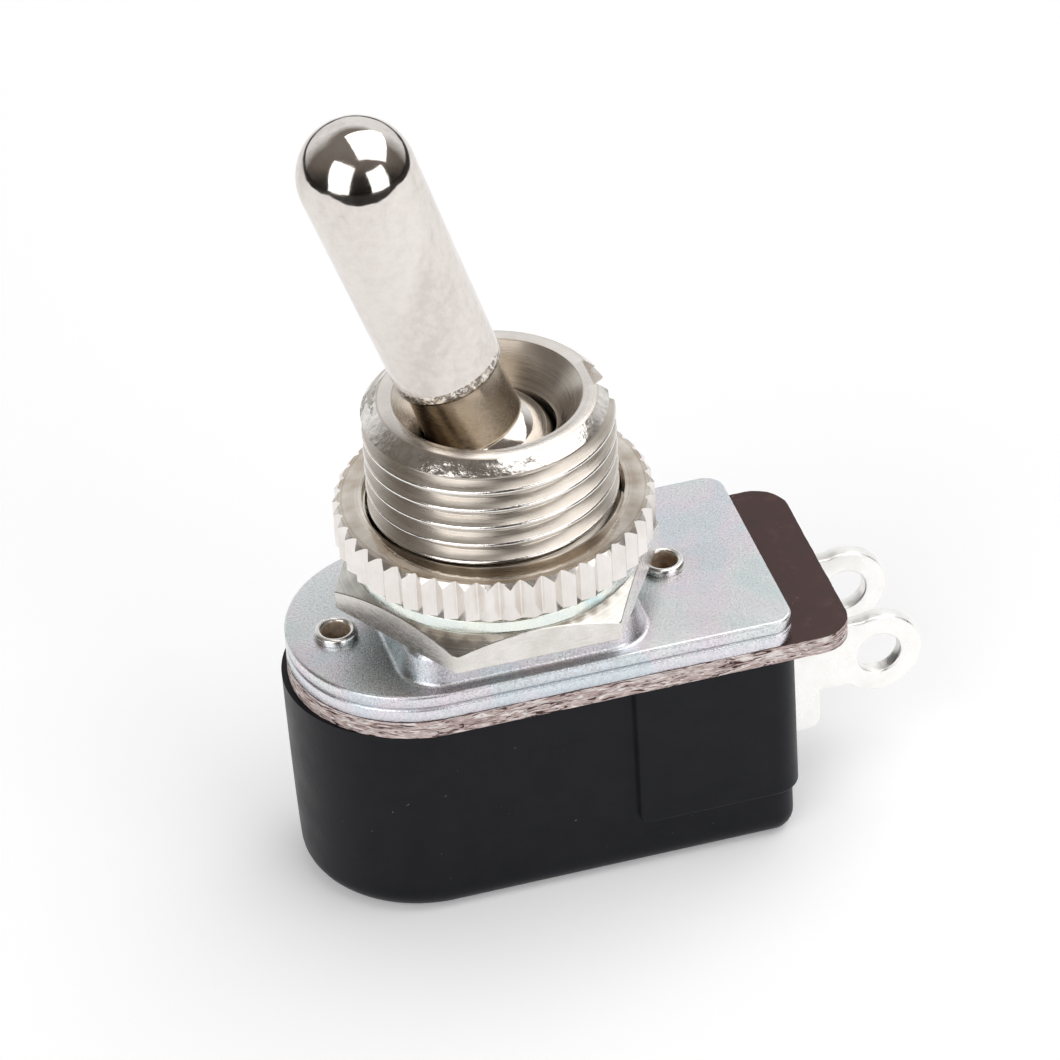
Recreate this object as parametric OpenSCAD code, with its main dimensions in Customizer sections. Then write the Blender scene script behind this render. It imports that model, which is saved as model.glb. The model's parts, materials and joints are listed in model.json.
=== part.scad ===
// Panel toggle switch with a threaded bushing, a bat lever and two solder lugs.
// All sizes are in millimetres. Z runs up the bushing, X runs towards the lugs,
// and the origin is on the bushing's axis, level with the top of the upper plate.

/* [Bushing] */
// Outer diameter of the bushing thread
thread_d = 12; // [11.6:0.05:12.4]
// Pitch of the bushing thread
thread_pitch = 1; // [0.8:0.05:1.2]
// Depth of the thread form
thread_depth = 0.5; // [0.3:0.05:0.6]
// Height of the bushing's rim above the upper plate
bushing_h = 12.08; // [11.6:0.02:13]
// Diameter of the flat rim
rim_d = 10.4; // [10:0.05:10.8]
// Height of the bevel between the rim and the thread
rim_bevel = 0.75; // [0.5:0.05:1]
// Diameter of the conical mouth at the rim
mouth_d = 9; // [8.6:0.05:9.4]
// Diameter of the throat that keeps the ball in
throat_d = 6.4; // [6.3:0.02:6.5]
// Depth of the conical mouth, from the rim to the throat
mouth_depth = 1.78; // [1.5:0.02:1.9]
// Width of the keyway along the thread
keyway_w = 2; // [1.4:0.1:2.6]
// Depth of the keyway
keyway_depth = 1.05; // [0.7:0.05:1.2]
// Diameter of the staked shank that passes through the upper plate
shank_d = 8.4; // [8.3:0.02:8.6]
// Diameter of the staked flange under the upper plate
stake_d = 9.1; // [9:0.02:9.2]
// Thickness of the staked flange
stake_t = 0.6; // [0.4:0.05:0.7]

/* [Lever] */
// Diameter of the ball that the lever swings on
ball_d = 6.8; // [6.7:0.02:6.84]
// Depth of the ball's centre below the rim
pivot_depth = 3.7; // [3.6:0.02:3.9]
// Lean of the lever to each side of upright, in degrees
throw_angle = 17.5; // [14:0.5:18]
// Diameter of the lever's neck
neck_d = 4.7; // [4.3:0.05:4.75]
// Diameter of the handle at its lower end
handle_low_d = 5.26; // [5:0.02:5.5]
// Diameter of the handle at its rounded tip
handle_top_d = 5.61; // [5.4:0.02:6]
// Distance from the ball's centre to the handle's lower end
handle_start = 5.7; // [5.4:0.05:6.5]
// Chamfer at the handle's lower end
handle_chamfer = 0.25; // [0.1:0.05:0.3]
// Distance from the ball's centre to the lever's tip
lever_reach = 20.82; // [18:0.1:26]
// Diameter of the cross pin through the ball
pin_d = 1.2; // [1:0.05:1.4]
// Length of the cross pin
pin_len = 7.5; // [7.3:0.05:7.6]
// Diameter of the drive rod under the ball
rod_d = 1.5; // [1.3:0.05:1.6]
// Diameter of the round tip on the drive rod
rod_tip_d = 2; // [1.8:0.05:2.1]
// Depth of the drive rod's seat in the ball
rod_seat = 2; // [1.6:0.1:2.4]

/* [Plates and board] */
// Width of the two steel plates
plate_w = 12.5; // [12:0.05:13]
// Thickness of each steel plate
plate_t = 0.73; // [0.6:0.01:0.8]
// Reach of the plates' round end from the bushing's axis
plate_left = 10.5; // [10.3:0.05:11]
// Reach of the plates' square end from the bushing's axis
plate_right = 12.85; // [12.4:0.05:13.6]
// Corner radius of the plates
plate_corner = 1; // [0.6:0.05:1.4]
// Length of the raised boss under the hexagon nut
boss_len = 12; // [11.8:0.05:12.4]
// Width of the raised boss
boss_w = 11.3; // [11.2:0.05:11.6]
// Height of the raised boss
boss_h = 1.6; // [1.4:0.05:1.8]
// Corner radius of the raised boss
boss_corner = 2; // [1.6:0.1:2.4]
// Lean of the boss's walls, foot to top
boss_lean = 0.3; // [0.1:0.05:0.4]
// Width of the insulating board
board_w = 12.65; // [12.4:0.05:13]
// Thickness of the insulating board
board_t = 0.94; // [0.7:0.02:1.2]
// Reach of the board's round end from the bushing's axis
board_left = 10.58; // [10.4:0.02:11]
// Reach of the board's square end from the bushing's axis
board_right = 15.9; // [15:0.1:17]
// Corner radius of the insulating board
board_corner = 1.8; // [1.2:0.1:2.4]

/* [Case] */
// Width of the moulded case
case_w = 11.8; // [11.4:0.05:12.4]
// Height of the moulded case
case_h = 10.85; // [10.7:0.05:12]
// Reach of the case's round end from the bushing's axis
case_left = 10.45; // [10.3:0.05:11]
// Reach of the case's square end from the bushing's axis
case_right = 12.75; // [12.3:0.05:13.2]
// Corner radius of the case's upright edges
case_corner = 0.9; // [0.5:0.1:1.4]
// Radius of the case's rounded bottom edge
case_edge = 1.1; // [0.6:0.1:1.4]
// Thickness of the case's side walls
case_wall = 1.5; // [1.2:0.05:1.6]
// Thickness of the case's floor
floor_t = 1.5; // [1.2:0.05:1.6]
// Height of the lip around the case's round end
lip_h = 1.2; // [0.8:0.1:1.6]
// How far the lip stands out past the round end
lip_out = 0.38; // [0.2:0.02:0.5]
// How far the raised panel stands out at the lug end
panel_out = 0.3; // [0.15:0.05:0.5]
// Distance from the bushing's axis to the raised panel's edge
panel_start = 4.7; // [4:0.1:6]
// Height of the raised panel
panel_h = 8.05; // [7.6:0.05:8.5]
// Corner radius of the raised panel
panel_corner = 0.7; // [0.3:0.1:1.2]

/* [Eyelets] */
// Distance between the two eyelets
eyelet_spacing = 16.3; // [16.2:0.05:17]
// Outer diameter of an eyelet's tube
eyelet_d = 1.7; // [1.6:0.02:1.8]
// Diameter of the hole through an eyelet
eyelet_hole = 1.35; // [1.1:0.05:1.4]
// Diameter of an eyelet's rolled rim
eyelet_rim_d = 2.1; // [1.95:0.05:2.3]
// Height of the straight part of an eyelet's rolled rim
eyelet_rim_h = 0.2; // [0.1:0.02:0.3]
// Thickness of case between an eyelet and the cavity
eyelet_wall = 0.55; // [0.4:0.05:0.6]
// Depth of the counterbore under the case for an eyelet
eyelet_sink = 0.8; // [0.6:0.05:1]

/* [Nuts and washer] */
// Width across the flats of the hexagon nut
hex_flats = 14; // [13.6:0.1:15]
// Thickness of the hexagon nut
hex_t = 1.7; // [1.5:0.05:2]
// Drop of the hexagon nut's chamfer at its corners
hex_chamfer = 0.75; // [0.5:0.05:0.9]
// Diameter of the round face left on top of the hexagon nut
hex_face_d = 13.6; // [13.2:0.1:13.9]
// Outer diameter of the lock washer
washer_d = 13.9; // [13.6:0.1:14.2]
// Thickness of the lock washer
washer_t = 0.65; // [0.5:0.05:0.8]
// Number of teeth inside the lock washer
washer_teeth = 12; // [10:1:14]
// Length of the lock washer's inner teeth
washer_tooth = 0.45; // [0.3:0.05:0.55]
// Diameter over the crests of the knurled nut
knurl_d = 15.3; // [15:0.1:16]
// Thickness of the knurled nut
knurl_t = 2.66; // [2.4:0.02:3]
// Number of crests around the knurled nut
knurl_crests = 45; // [40:1:50]
// Depth of the grooves in the knurled nut
knurl_depth = 0.5; // [0.35:0.05:0.6]
// Bevel on the knurled nut's upper edge
knurl_bevel = 0.28; // [0.15:0.01:0.35]
// Relief under the knurled nut's lower edge
knurl_relief = 0.62; // [0.4:0.02:0.7]

/* [Terminals] */
// Thickness of the solder lugs
lug_t = 0.8; // [0.6:0.05:0.9]
// Distance between the two lugs' middle planes
lug_spacing = 5.4; // [5.2:0.05:5.6]
// Diameter of the eye in a lug
eye_d = 2.2; // [2:0.05:2.4]
// Outer diameter of the ring around the eye
eye_ring_d = 4.15; // [3.8:0.05:4.4]
// Distance from the bushing's axis to the eye
eye_x = 18; // [17.6:0.1:19]
// Depth of the eye below the insulating board
eye_drop = 3.3; // [3:0.05:3.4]
// Height of the upright tab at the case's end
tab_h = 7; // [6.6:0.05:7.4]
// How far the tab stands out past the raised panel
tab_out = 1.8; // [1.4:0.05:2.2]
// Corner radius of the tab
tab_corner = 0.7; // [0.3:0.1:1]
// Depth of the arm's lower edge below the board
arm_drop = 4.75; // [4.6:0.05:4.9]
// Reach of the contact blade into the cavity
blade_reach = 2.8; // [2.2:0.1:3]
// Height of the contact blade
blade_h = 3.2; // [2.6:0.1:3.6]

/* [Contact carrier] */
// Width of the carrier's head
carrier_w = 7.2; // [6.8:0.1:7.6]
// Height of the carrier's head
head_h = 2.5; // [2.3:0.05:2.6]
// Width of the tongue that passes between the blades
tongue_w = 3.4; // [3:0.1:3.6]
// Height of the tongue
tongue_h = 4.3; // [4.1:0.05:4.5]
// Width of the keel that runs between the floor ribs
keel_w = 1.6; // [1.2:0.1:2]
// Radius of the detent nose under the keel
nose_r = 0.45; // [0.35:0.05:0.5]
// Depth of the rod's tip below the carrier's top at mid throw
tip_sink = 0.97; // [0.8:0.02:1.1]
// Distance from the carrier's middle to the contact bore
button_x = 1.6; // [1.4:0.05:1.7]
// Depth of the contact bore below the carrier's head
button_drop = 1.7; // [1.5:0.05:1.9]
// Diameter of the contact buttons
button_d = 1.6; // [1.4:0.05:1.7]
// Length of a contact button inside the sleeve
button_seat = 0.8; // [0.6:0.05:0.9]
// Wall of the bridging sleeve
sleeve_t = 0.25; // [0.2:0.01:0.35]
// Diameter of the contact spring's wire
coil_wire = 0.2; // [0.14:0.02:0.24]
// Number of turns in the contact spring
coil_turns = 4; // [3:0.5:5]
// Thickness of the detent spring's strip
strip_t = 0.22; // [0.16:0.02:0.26]
// Width of the detent spring's strip
strip_w = 1.3; // [1:0.1:1.5]
// Rise of the hump in the detent spring
hump_h = 0.5; // [0.3:0.05:0.55]
// Length of each end of the detent strip past its valley
strip_end = 1.4; // [1.2:0.1:1.6]
// Rise of each end of the detent strip
strip_end_h = 0.35; // [0.2:0.05:0.4]
// Width of the ribs on the case's floor
rib_w = 0.8; // [0.6:0.1:1]

/* [Clearances] */
// Radial gap between the thread and the nuts
thread_gap = 0.08; // [0.05:0.01:0.12]
// Radial gap of the ball in the bushing
ball_gap = 0.1; // [0.08:0.01:0.14]
// Gap on each side of a piece that slides
slide_gap = 0.1; // [0.06:0.01:0.12]
// Gap on each side of the rod's tip in the carrier
tip_gap = 0.12; // [0.1:0.01:0.15]
// Gap around pieces that seat in each other
seat_gap = 0.02; // [0.01:0.005:0.03]
// Gap between the carrier and the insulating board
head_gap = 0.25; // [0.2:0.01:0.3]
// Gap between the lever and the edges of the slots it passes through
slot_gap = 0.35; // [0.25:0.05:0.45]

/* [Hidden] */
$fn = 96;
cut = 0.5;

lower_plate_z = -2 * plate_t;
board_z = lower_plate_z - board_t;
case_z = board_z - case_h;
floor_z = case_z + floor_t;

thread_r = thread_d / 2;
boss_under = boss_h - plate_t;
pivot_z = bushing_h - pivot_depth;
seat_r = ball_d / 2 + ball_gap;
throat_z = bushing_h - mouth_depth;
pin_slot_r = pin_len / 2 + ball_gap;

hex_z = boss_h;
washer_z = hex_z + hex_t;
knurl_z = washer_z + washer_t;

head_z = board_z - head_gap;
tongue_z = head_z - head_h;
keel_z = tongue_z - tongue_h;
tip_z = head_z - tip_sink;
rod_reach = pivot_z - tip_z;
travel = rod_reach * sin(throw_angle);
cavity_w = case_w - 2 * case_wall;
cavity_len = eyelet_spacing - eyelet_d - 2 * eyelet_wall;
carrier_len = cavity_len - 2 * travel - 4 * slide_gap;
bore_z = tongue_z - button_drop;
sleeve_r = button_d / 2 + seat_gap + sleeve_t;
nose_z = floor_z + strip_t + slide_gap + nose_r;

lug_y = lug_spacing / 2;
eye_z = board_z - eye_drop;
tab_x = case_right + panel_out + tab_out;
blade_x = cavity_len / 2 - blade_reach;
blade_z = tongue_z - slide_gap;

nickel = [0.80, 0.78, 0.74];
zinc = [0.74, 0.77, 0.80];
tin = [0.86, 0.86, 0.84];
copper = [0.78, 0.50, 0.32];

// Outline with a half-round end towards -X and rounded corners towards +X
module round_end_outline(left, right, width, corner) {
    translate([width / 2 - left, 0]) circle(d = width);
    translate([width / 2 - left, -width / 2]) square([right + left - width / 2 - corner, width]);
    translate([width / 2 - left, corner - width / 2]) square([right + left - width / 2, width - 2 * corner]);
    for (side = [-1, 1])
        translate([right - corner, side * (width / 2 - corner)]) circle(r = corner);
}

// Rectangle centred on the origin with rounded corners
module rounded_rectangle(length, width, corner) {
    square([length - 2 * corner, width], center = true);
    square([length, width - 2 * corner], center = true);
    for (x = [-1, 1], y = [-1, 1])
        translate([x * (length / 2 - corner), y * (width / 2 - corner)]) circle(r = corner);
}

// Rectangle from two corners, for outlines drawn in X and Z
module span(x0, x1, z0, z1) {
    translate([x0, z0]) square([x1 - x0, z1 - z0]);
}

// Turns an outline drawn in X and Z into a slab of the given thickness, centred on y
module upright(y, thickness) {
    translate([0, y + thickness / 2, 0]) rotate([90, 0, 0]) linear_extrude(thickness) children();
}

// Slot with square ends that the lever's lower part swings through
module swing_slot(half_length, z, height) {
    half_width = rod_tip_d / 2 + slot_gap;
    translate([-half_length, -half_width, z - cut])
        cube([2 * half_length, 2 * half_width, height + 2 * cut]);
}

// Holes for the two eyelets
module eyelet_holes(z, height) {
    for (side = [-1, 1])
        translate([side * eyelet_spacing / 2, 0, z - cut])
            cylinder(d = eyelet_d + 2 * seat_gap, h = height + 2 * cut);
}

// How far the swinging rod or its tip reaches sideways at a height
function rod_swing(z) = (pivot_z - z) * tan(throw_angle) + rod_d / 2 / cos(throw_angle);
tip_swing = travel + rod_tip_d / 2;

// ---- case ----

// Straight-sided body with a rounded bottom edge, before it is hollowed
module case_body() {
    centre = case_left - case_w / 2;
    intersection() {
        union() {
            translate([-centre, 0, 0]) rotate_extrude() intersection() {
                case_section();
                translate([0, case_z]) square([case_w, case_h]);
            }
            translate([-centre, 0, 0]) rotate([90, 0, 90]) linear_extrude(case_right + centre) case_section();
        }
        upright(0, 2 * case_w) end_section();
        translate([0, 0, case_z]) linear_extrude(case_h)
            round_end_outline(case_left, case_right, case_w, case_corner);
    }
}

// Section across the case
module case_section() {
    span(-case_w / 2, case_w / 2, case_z + case_edge, board_z);
    span(case_edge - case_w / 2, case_w / 2 - case_edge, case_z, board_z);
    for (side = [-1, 1])
        translate([side * (case_w / 2 - case_edge), case_z + case_edge]) circle(r = case_edge);
}

// Section along the case, which rounds the bottom edge at the lug end
module end_section() {
    span(-2 * case_left, case_right - case_edge, case_z, board_z);
    span(-2 * case_left, case_right, case_z + case_edge, board_z);
    translate([case_right - case_edge, case_z + case_edge]) circle(r = case_edge);
}

// Lip around the top of the round end
module case_lip() {
    lip_r = case_w / 2 + seat_gap;
    intersection() {
        translate([lip_r - case_left - lip_out, 0, board_z - lip_h]) {
            cylinder(r1 = lip_r - lip_out, r2 = lip_r, h = lip_out);
            translate([0, 0, lip_out]) cylinder(r = lip_r, h = lip_h - lip_out);
        }
        translate([-2 * case_left, -case_w / 2, case_z]) cube([2 * case_left, case_w, case_h]);
    }
}

// Panel that wraps around the lug end
module case_panel() {
    foot = board_z - panel_h;
    intersection() {
        translate([0, 0, foot]) linear_extrude(panel_h) round_end_outline(
            case_left + panel_out, case_right + panel_out, case_w + 2 * panel_out, case_corner + panel_out);
        upright(0, 2 * case_w) {
            span(panel_start, 2 * case_right, foot + panel_corner, board_z);
            span(panel_start + panel_corner, 2 * case_right, foot, board_z);
            translate([panel_start + panel_corner, foot + panel_corner]) circle(r = panel_corner);
        }
    }
}

// Two ribs on the floor that guide the carrier's keel
module floor_ribs() {
    for (side = [-1, 1])
        translate([-cavity_len / 2, side * (keel_w / 2 + slide_gap + rib_w / 2) - rib_w / 2, floor_z])
            cube([cavity_len, rib_w, keel_z - slide_gap - floor_z]);
}

// Slots that the lugs drop into from above
module lug_slots() {
    slot_z = board_z - tab_h - slide_gap;
    for (side = [-1, 1])
        translate([cavity_len / 2 - cut, side * lug_y - lug_t / 2 - seat_gap, slot_z])
            cube([2 * case_right, lug_t + 2 * seat_gap, tab_h + slide_gap + cut]);
}

module case() {
    color([0.13, 0.13, 0.14]) {
        difference() {
            union() {
                case_body();
                case_lip();
                case_panel();
            }
            translate([0, 0, floor_z]) linear_extrude(case_h) rounded_rectangle(cavity_len, cavity_w, case_corner);
            lug_slots();
            eyelet_holes(case_z, case_h);
            for (side = [-1, 1])
                translate([side * eyelet_spacing / 2, 0, case_z - cut])
                    cylinder(d = eyelet_rim_d + 4 * slide_gap, h = eyelet_sink + cut);
        }
        floor_ribs();
    }
}

// ---- plates and board ----

module insulating_board() {
    color([0.30, 0.19, 0.16]) difference() {
        translate([0, 0, board_z]) linear_extrude(board_t)
            round_end_outline(board_left, board_right, board_w, board_corner);
        swing_slot(tip_swing + slot_gap, board_z, board_t);
        eyelet_holes(board_z, board_t);
    }
}

module lower_plate() {
    color(zinc) difference() {
        translate([0, 0, lower_plate_z]) linear_extrude(plate_t)
            round_end_outline(plate_left, plate_right, plate_w, plate_corner);
        swing_slot(rod_swing(lower_plate_z) + slot_gap, lower_plate_z, plate_t);
        eyelet_holes(lower_plate_z, plate_t);
    }
}

// Raised form with leaning walls, drawn up out of the plate
module boss_form(inset, z, height) {
    hull() {
        translate([0, 0, z]) linear_extrude(0.01)
            rounded_rectangle(boss_len - 2 * inset, boss_w - 2 * inset, boss_corner - inset / 2);
        translate([0, 0, z + height - 0.01]) linear_extrude(0.01)
            rounded_rectangle(boss_len - 2 * (inset + boss_lean), boss_w - 2 * (inset + boss_lean),
                boss_corner - inset / 2);
    }
}

module upper_plate() {
    color(zinc) difference() {
        union() {
            translate([0, 0, -plate_t]) linear_extrude(plate_t)
                round_end_outline(plate_left, plate_right, plate_w, plate_corner);
            boss_form(0, -plate_t / 2, boss_h + plate_t / 2);
        }
        boss_form(plate_t, -plate_t - cut, boss_h + cut);
        cylinder(d = shank_d + 2 * seat_gap, h = boss_h + cut);
        eyelet_holes(-plate_t, plate_t);
    }
}

// Hollow rivet along Z that clamps the plates and the board to the case
module eyelet(x) {
    foot = case_z + seat_gap;
    color(nickel) translate([x, 0, 0]) difference() {
        union() {
            translate([0, 0, foot]) cylinder(d = eyelet_d, h = eyelet_rim_h - foot);
            cylinder(d = eyelet_rim_d, h = eyelet_rim_h);
            rotate_extrude() translate([(eyelet_rim_d + eyelet_hole) / 4, eyelet_rim_h])
                circle(d = (eyelet_rim_d - eyelet_hole) / 2);
            translate([0, 0, foot]) cylinder(d = eyelet_rim_d, h = eyelet_sink - seat_gap);
        }
        translate([0, 0, foot - cut]) cylinder(d = eyelet_hole, h = eyelet_rim_h - foot + 2 * cut);
    }
}

// ---- bushing ----

// Outline of the bushing from its axis, with the thread as rings
module bushing_outline() {
    root = thread_r - thread_depth;
    rings = floor((bushing_h - rim_bevel - boss_h) / thread_pitch);
    first = bushing_h - rim_bevel;
    polygon(concat(
        [[0, boss_h], [0, bushing_h], [rim_d / 2, bushing_h], [root, first]],
        [for (i = [0:rings - 1], corner = [0:2])
            corner == 0 ? [thread_r, first - (i + 0.45) * thread_pitch]
            : corner == 1 ? [thread_r, first - (i + 0.55) * thread_pitch]
            : [root, first - (i + 1) * thread_pitch]],
        [[root, boss_h]]
    ));
}

module threaded_bushing() {
    color(nickel) difference() {
        union() {
            rotate_extrude() bushing_outline();
            translate([0, 0, boss_under - stake_t]) cylinder(d = shank_d, h = boss_h - boss_under + stake_t + cut);
            translate([0, 0, boss_under - stake_t]) cylinder(d = stake_d, h = stake_t);
        }
        rotate_extrude() polygon([
            [0, pivot_z], [throat_d / 2, pivot_z], [throat_d / 2, throat_z],
            [mouth_d / 2, bushing_h], [mouth_d / 2, bushing_h + cut], [0, bushing_h + cut]
        ]);
        translate([0, 0, pivot_z]) sphere(r = seat_r);
        cylinder(r = seat_r, h = pivot_z);
        pin_slots();
        translate([thread_r - keyway_depth, -keyway_w / 2, boss_h])
            cube([keyway_depth + cut, keyway_w, bushing_h]);
    }
}

// Two grooves down the bore that the cross pin's ends slide up
module pin_slots() {
    half_width = pin_d / 2 + slide_gap;
    intersection() {
        union() {
            translate([-half_width, -thread_r, 0]) cube([2 * half_width, 2 * thread_r, pivot_z]);
            translate([0, thread_r, pivot_z]) rotate([90, 0, 0]) cylinder(r = half_width, h = 2 * thread_r);
        }
        cylinder(r = pin_slot_r, h = bushing_h);
    }
}

// ---- nuts and washer ----

module hex_nut() {
    corner_r = hex_flats / sqrt(3);
    face_r = hex_face_d / 2;
    color(nickel) translate([0, 0, hex_z]) difference() {
        intersection() {
            cylinder(r = corner_r, h = hex_t, $fn = 6);
            cylinder(r1 = face_r + (corner_r - face_r) * hex_t / hex_chamfer, r2 = face_r, h = hex_t);
        }
        translate([0, 0, -cut]) cylinder(r = thread_r + thread_gap, h = hex_t + 2 * cut);
    }
}

module lock_washer() {
    bore = thread_r + thread_gap;
    root = bore + washer_tooth;
    color([0.72, 0.78, 0.72]) translate([0, 0, washer_z]) linear_extrude(washer_t) difference() {
        circle(d = washer_d);
        circle(r = bore);
        for (i = [0:washer_teeth - 1])
            rotate(i * 360 / washer_teeth) translate([0, -root / washer_teeth])
                square([root, 2 * root / washer_teeth]);
    }
}

module knurled_nut() {
    crest = knurl_d / 2;
    root = crest - knurl_depth;
    step = 180 / knurl_crests;
    bore = thread_r + thread_gap;
    color(nickel) translate([0, 0, knurl_z]) difference() {
        intersection() {
            linear_extrude(knurl_t) polygon([
                for (i = [0:2 * knurl_crests - 1])
                    (i % 2 == 0 ? root : crest) * [cos(i * step), sin(i * step)]
            ]);
            rotate_extrude() polygon([
                [0, 0], [crest - knurl_relief, 0], [crest + cut, knurl_relief + cut],
                [crest + cut, knurl_t - knurl_bevel - cut], [crest - knurl_bevel, knurl_t], [0, knurl_t]
            ]);
        }
        rotate_extrude() polygon([
            [0, -cut], [bore, -cut], [bore, knurl_t - knurl_bevel],
            [bore + knurl_bevel + cut, knurl_t + cut], [0, knurl_t + cut]
        ]);
    }
}

// ---- lever ----

// Places the lever's pieces, drawn upright about the ball's centre, at rest
module at_rest() {
    translate([0, 0, pivot_z]) rotate([0, -throw_angle, 0]) children();
}

module bat_lever() {
    dome_r = handle_top_d / 2;
    low_r = handle_low_d / 2;
    color(nickel) at_rest() difference() {
        union() {
            sphere(d = ball_d);
            cylinder(d = neck_d, h = handle_start + handle_chamfer);
            translate([0, 0, handle_start])
                cylinder(r1 = low_r - handle_chamfer, r2 = low_r, h = handle_chamfer);
            translate([0, 0, handle_start + handle_chamfer])
                cylinder(r1 = low_r, r2 = dome_r, h = lever_reach - dome_r - handle_start - handle_chamfer);
            translate([0, 0, lever_reach - dome_r]) sphere(r = dome_r);
        }
        rotate([90, 0, 0]) cylinder(d = pin_d + 2 * seat_gap, h = ball_d + cut, center = true);
        translate([0, 0, -ball_d]) cylinder(d = rod_d + 2 * seat_gap, h = ball_d / 2 + rod_seat);
    }
}

module pivot_pin() {
    color([0.6, 0.6, 0.62]) at_rest() rotate([90, 0, 0]) cylinder(d = pin_d, h = pin_len, center = true);
}

module drive_rod() {
    top = rod_seat - ball_d / 2 - seat_gap;
    color([0.66, 0.66, 0.68]) at_rest() {
        translate([0, 0, -rod_reach]) cylinder(d = rod_d, h = rod_reach + top);
        translate([0, 0, -rod_reach]) sphere(d = rod_tip_d);
    }
}

// ---- contact carrier ----

module contact_carrier() {
    half = carrier_len / 2;
    color([0.42, 0.26, 0.16]) translate([travel, 0, 0]) difference() {
        union() {
            translate([-half, -carrier_w / 2, tongue_z]) cube([carrier_len, carrier_w, head_h]);
            translate([-half, -tongue_w / 2, keel_z]) cube([carrier_len, tongue_w, tongue_h + cut]);
            translate([-half, -keel_w / 2, nose_z]) cube([carrier_len, keel_w, keel_z - nose_z + cut]);
            translate([0, keel_w / 2, nose_z]) rotate([90, 0, 0]) cylinder(r = nose_r, h = keel_w);
        }
        translate([-rod_tip_d / 2 - tip_gap, -rod_tip_d / 2 - slot_gap, tip_z - rod_tip_d / 2 - tip_gap])
            cube([rod_tip_d + 2 * tip_gap, rod_tip_d + 2 * slot_gap, head_h]);
        translate([button_x, 0, bore_z]) rotate([90, 0, 0])
            cylinder(r = sleeve_r + seat_gap, h = carrier_w, center = true);
    }
}

module bridge_sleeve() {
    color([0.80, 0.66, 0.36]) translate([travel + button_x, 0, bore_z]) rotate([90, 0, 0]) difference() {
        cylinder(r = sleeve_r, h = tongue_w, center = true);
        cylinder(d = button_d + 2 * seat_gap, h = tongue_w + cut, center = true);
    }
}

// Round-nosed button that the spring presses towards a blade
module contact_button(side) {
    nose_y = lug_y - lug_t / 2 - slide_gap - button_d / 2;
    back_y = tongue_w / 2 - button_seat;
    color([0.85, 0.85, 0.82]) translate([travel + button_x, 0, bore_z]) rotate([-90 * side, 0, 0]) {
        translate([0, 0, back_y]) cylinder(d = button_d, h = nose_y - back_y);
        translate([0, 0, nose_y]) sphere(d = button_d);
    }
}

// Point on the contact spring's centre line, from 0 at one end to 1 at the other
function coil_point(t, radius, length) =
    let (turn = 360 * coil_turns * t) [radius * cos(turn), length * (t - 0.5), radius * sin(turn)];

module contact_spring() {
    sides = 8;
    rings = ceil(coil_turns * 14);
    radius = (button_d - coil_wire) / 2 - seat_gap;
    length = tongue_w - 2 * button_seat - coil_wire - 2 * seat_gap;
    points = [
        for (i = [0:rings])
            let (
                centre = coil_point(i / rings, radius, length),
                turn = 360 * coil_turns * i / rings,
                out = [cos(turn), 0, sin(turn)]
            )
            for (k = [0:sides - 1])
                centre + coil_wire / 2 * (cos(360 * k / sides) * out + sin(360 * k / sides) * [0, 1, 0])
    ];
    walls = [
        for (i = [0:rings - 1], k = [0:sides - 1])
            [i * sides + k, i * sides + (k + 1) % sides, (i + 1) * sides + (k + 1) % sides, (i + 1) * sides + k]
    ];
    ends = [[for (k = [sides - 1:-1:0]) k], [for (k = [0:sides - 1]) rings * sides + k]];
    color([0.7, 0.7, 0.7]) translate([travel + button_x, 0, bore_z]) polyhedron(points, concat(walls, ends));
}

// Height of the detent strip above the floor, with a valley at each end of the carrier's travel
function strip_rise(x) =
    abs(x) <= travel
        ? hump_h * (1 + cos(180 * x / travel)) / 2
        : strip_end_h * (1 - cos(180 * (abs(x) - travel) / strip_end)) / 2;

module detent_spring() {
    steps = 48;
    half = travel + strip_end;
    path = [for (i = [-steps:steps]) half * i / steps];
    color([0.76, 0.60, 0.36]) upright(0, strip_w) polygon(concat(
        [for (x = path) [x, floor_z + strip_rise(x)]],
        [for (x = path) [-x, floor_z + strip_rise(x) + strip_t]]
    ));
}

// ---- terminals ----

// Lug cut from flat strip: blade inside, tab in the case's slot, arm and eye outside
module lug_outline() {
    tab_foot = board_z - tab_h;
    difference() {
        union() {
            span(blade_x, cavity_len / 2 + cut, blade_z - blade_h, blade_z);
            span(cavity_len / 2 + seat_gap, tab_x, tab_foot + tab_corner, board_z - seat_gap);
            span(cavity_len / 2 + seat_gap, tab_x - tab_corner, tab_foot, board_z - seat_gap);
            translate([tab_x - tab_corner, tab_foot + tab_corner]) circle(r = tab_corner);
            span(tab_x - cut, eye_x, board_z - arm_drop, eye_z + eye_ring_d / 2);
            translate([eye_x, eye_z]) circle(d = eye_ring_d);
        }
        translate([eye_x, eye_z]) circle(d = eye_d);
    }
}

module terminal(side) {
    color(tin) upright(side * lug_y, lug_t) lug_outline();
}

case();
insulating_board();
lower_plate();
upper_plate();
threaded_bushing();
hex_nut();
lock_washer();
knurled_nut();
bat_lever();
pivot_pin();
drive_rod();
contact_carrier();
bridge_sleeve();
contact_button(-1);  // contact_button_front
contact_button(1);  // contact_button_rear
contact_spring();
detent_spring();
terminal(-1);  // terminal_front
terminal(1);  // terminal_rear
eyelet(-eyelet_spacing / 2);  // eyelet_left
eyelet(eyelet_spacing / 2);  // eyelet_right
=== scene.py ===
# %% [markdown]
# # A panel toggle switch
# This lesson dresses a bat-lever toggle switch: a nickelled lever in a threaded bushing, a hexagon
# nut, a lock washer and a knurled nut, two zinc-plated steel plates on a fibre board, a black
# moulded case and two tinned solder lugs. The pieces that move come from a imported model, which is
# loaded first and stays as it is. Every surface made here is worked out with numpy from the same
# sizes, in millimetres, and is turned into metres when its mesh is made.

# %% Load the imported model
import json
import math

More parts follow.
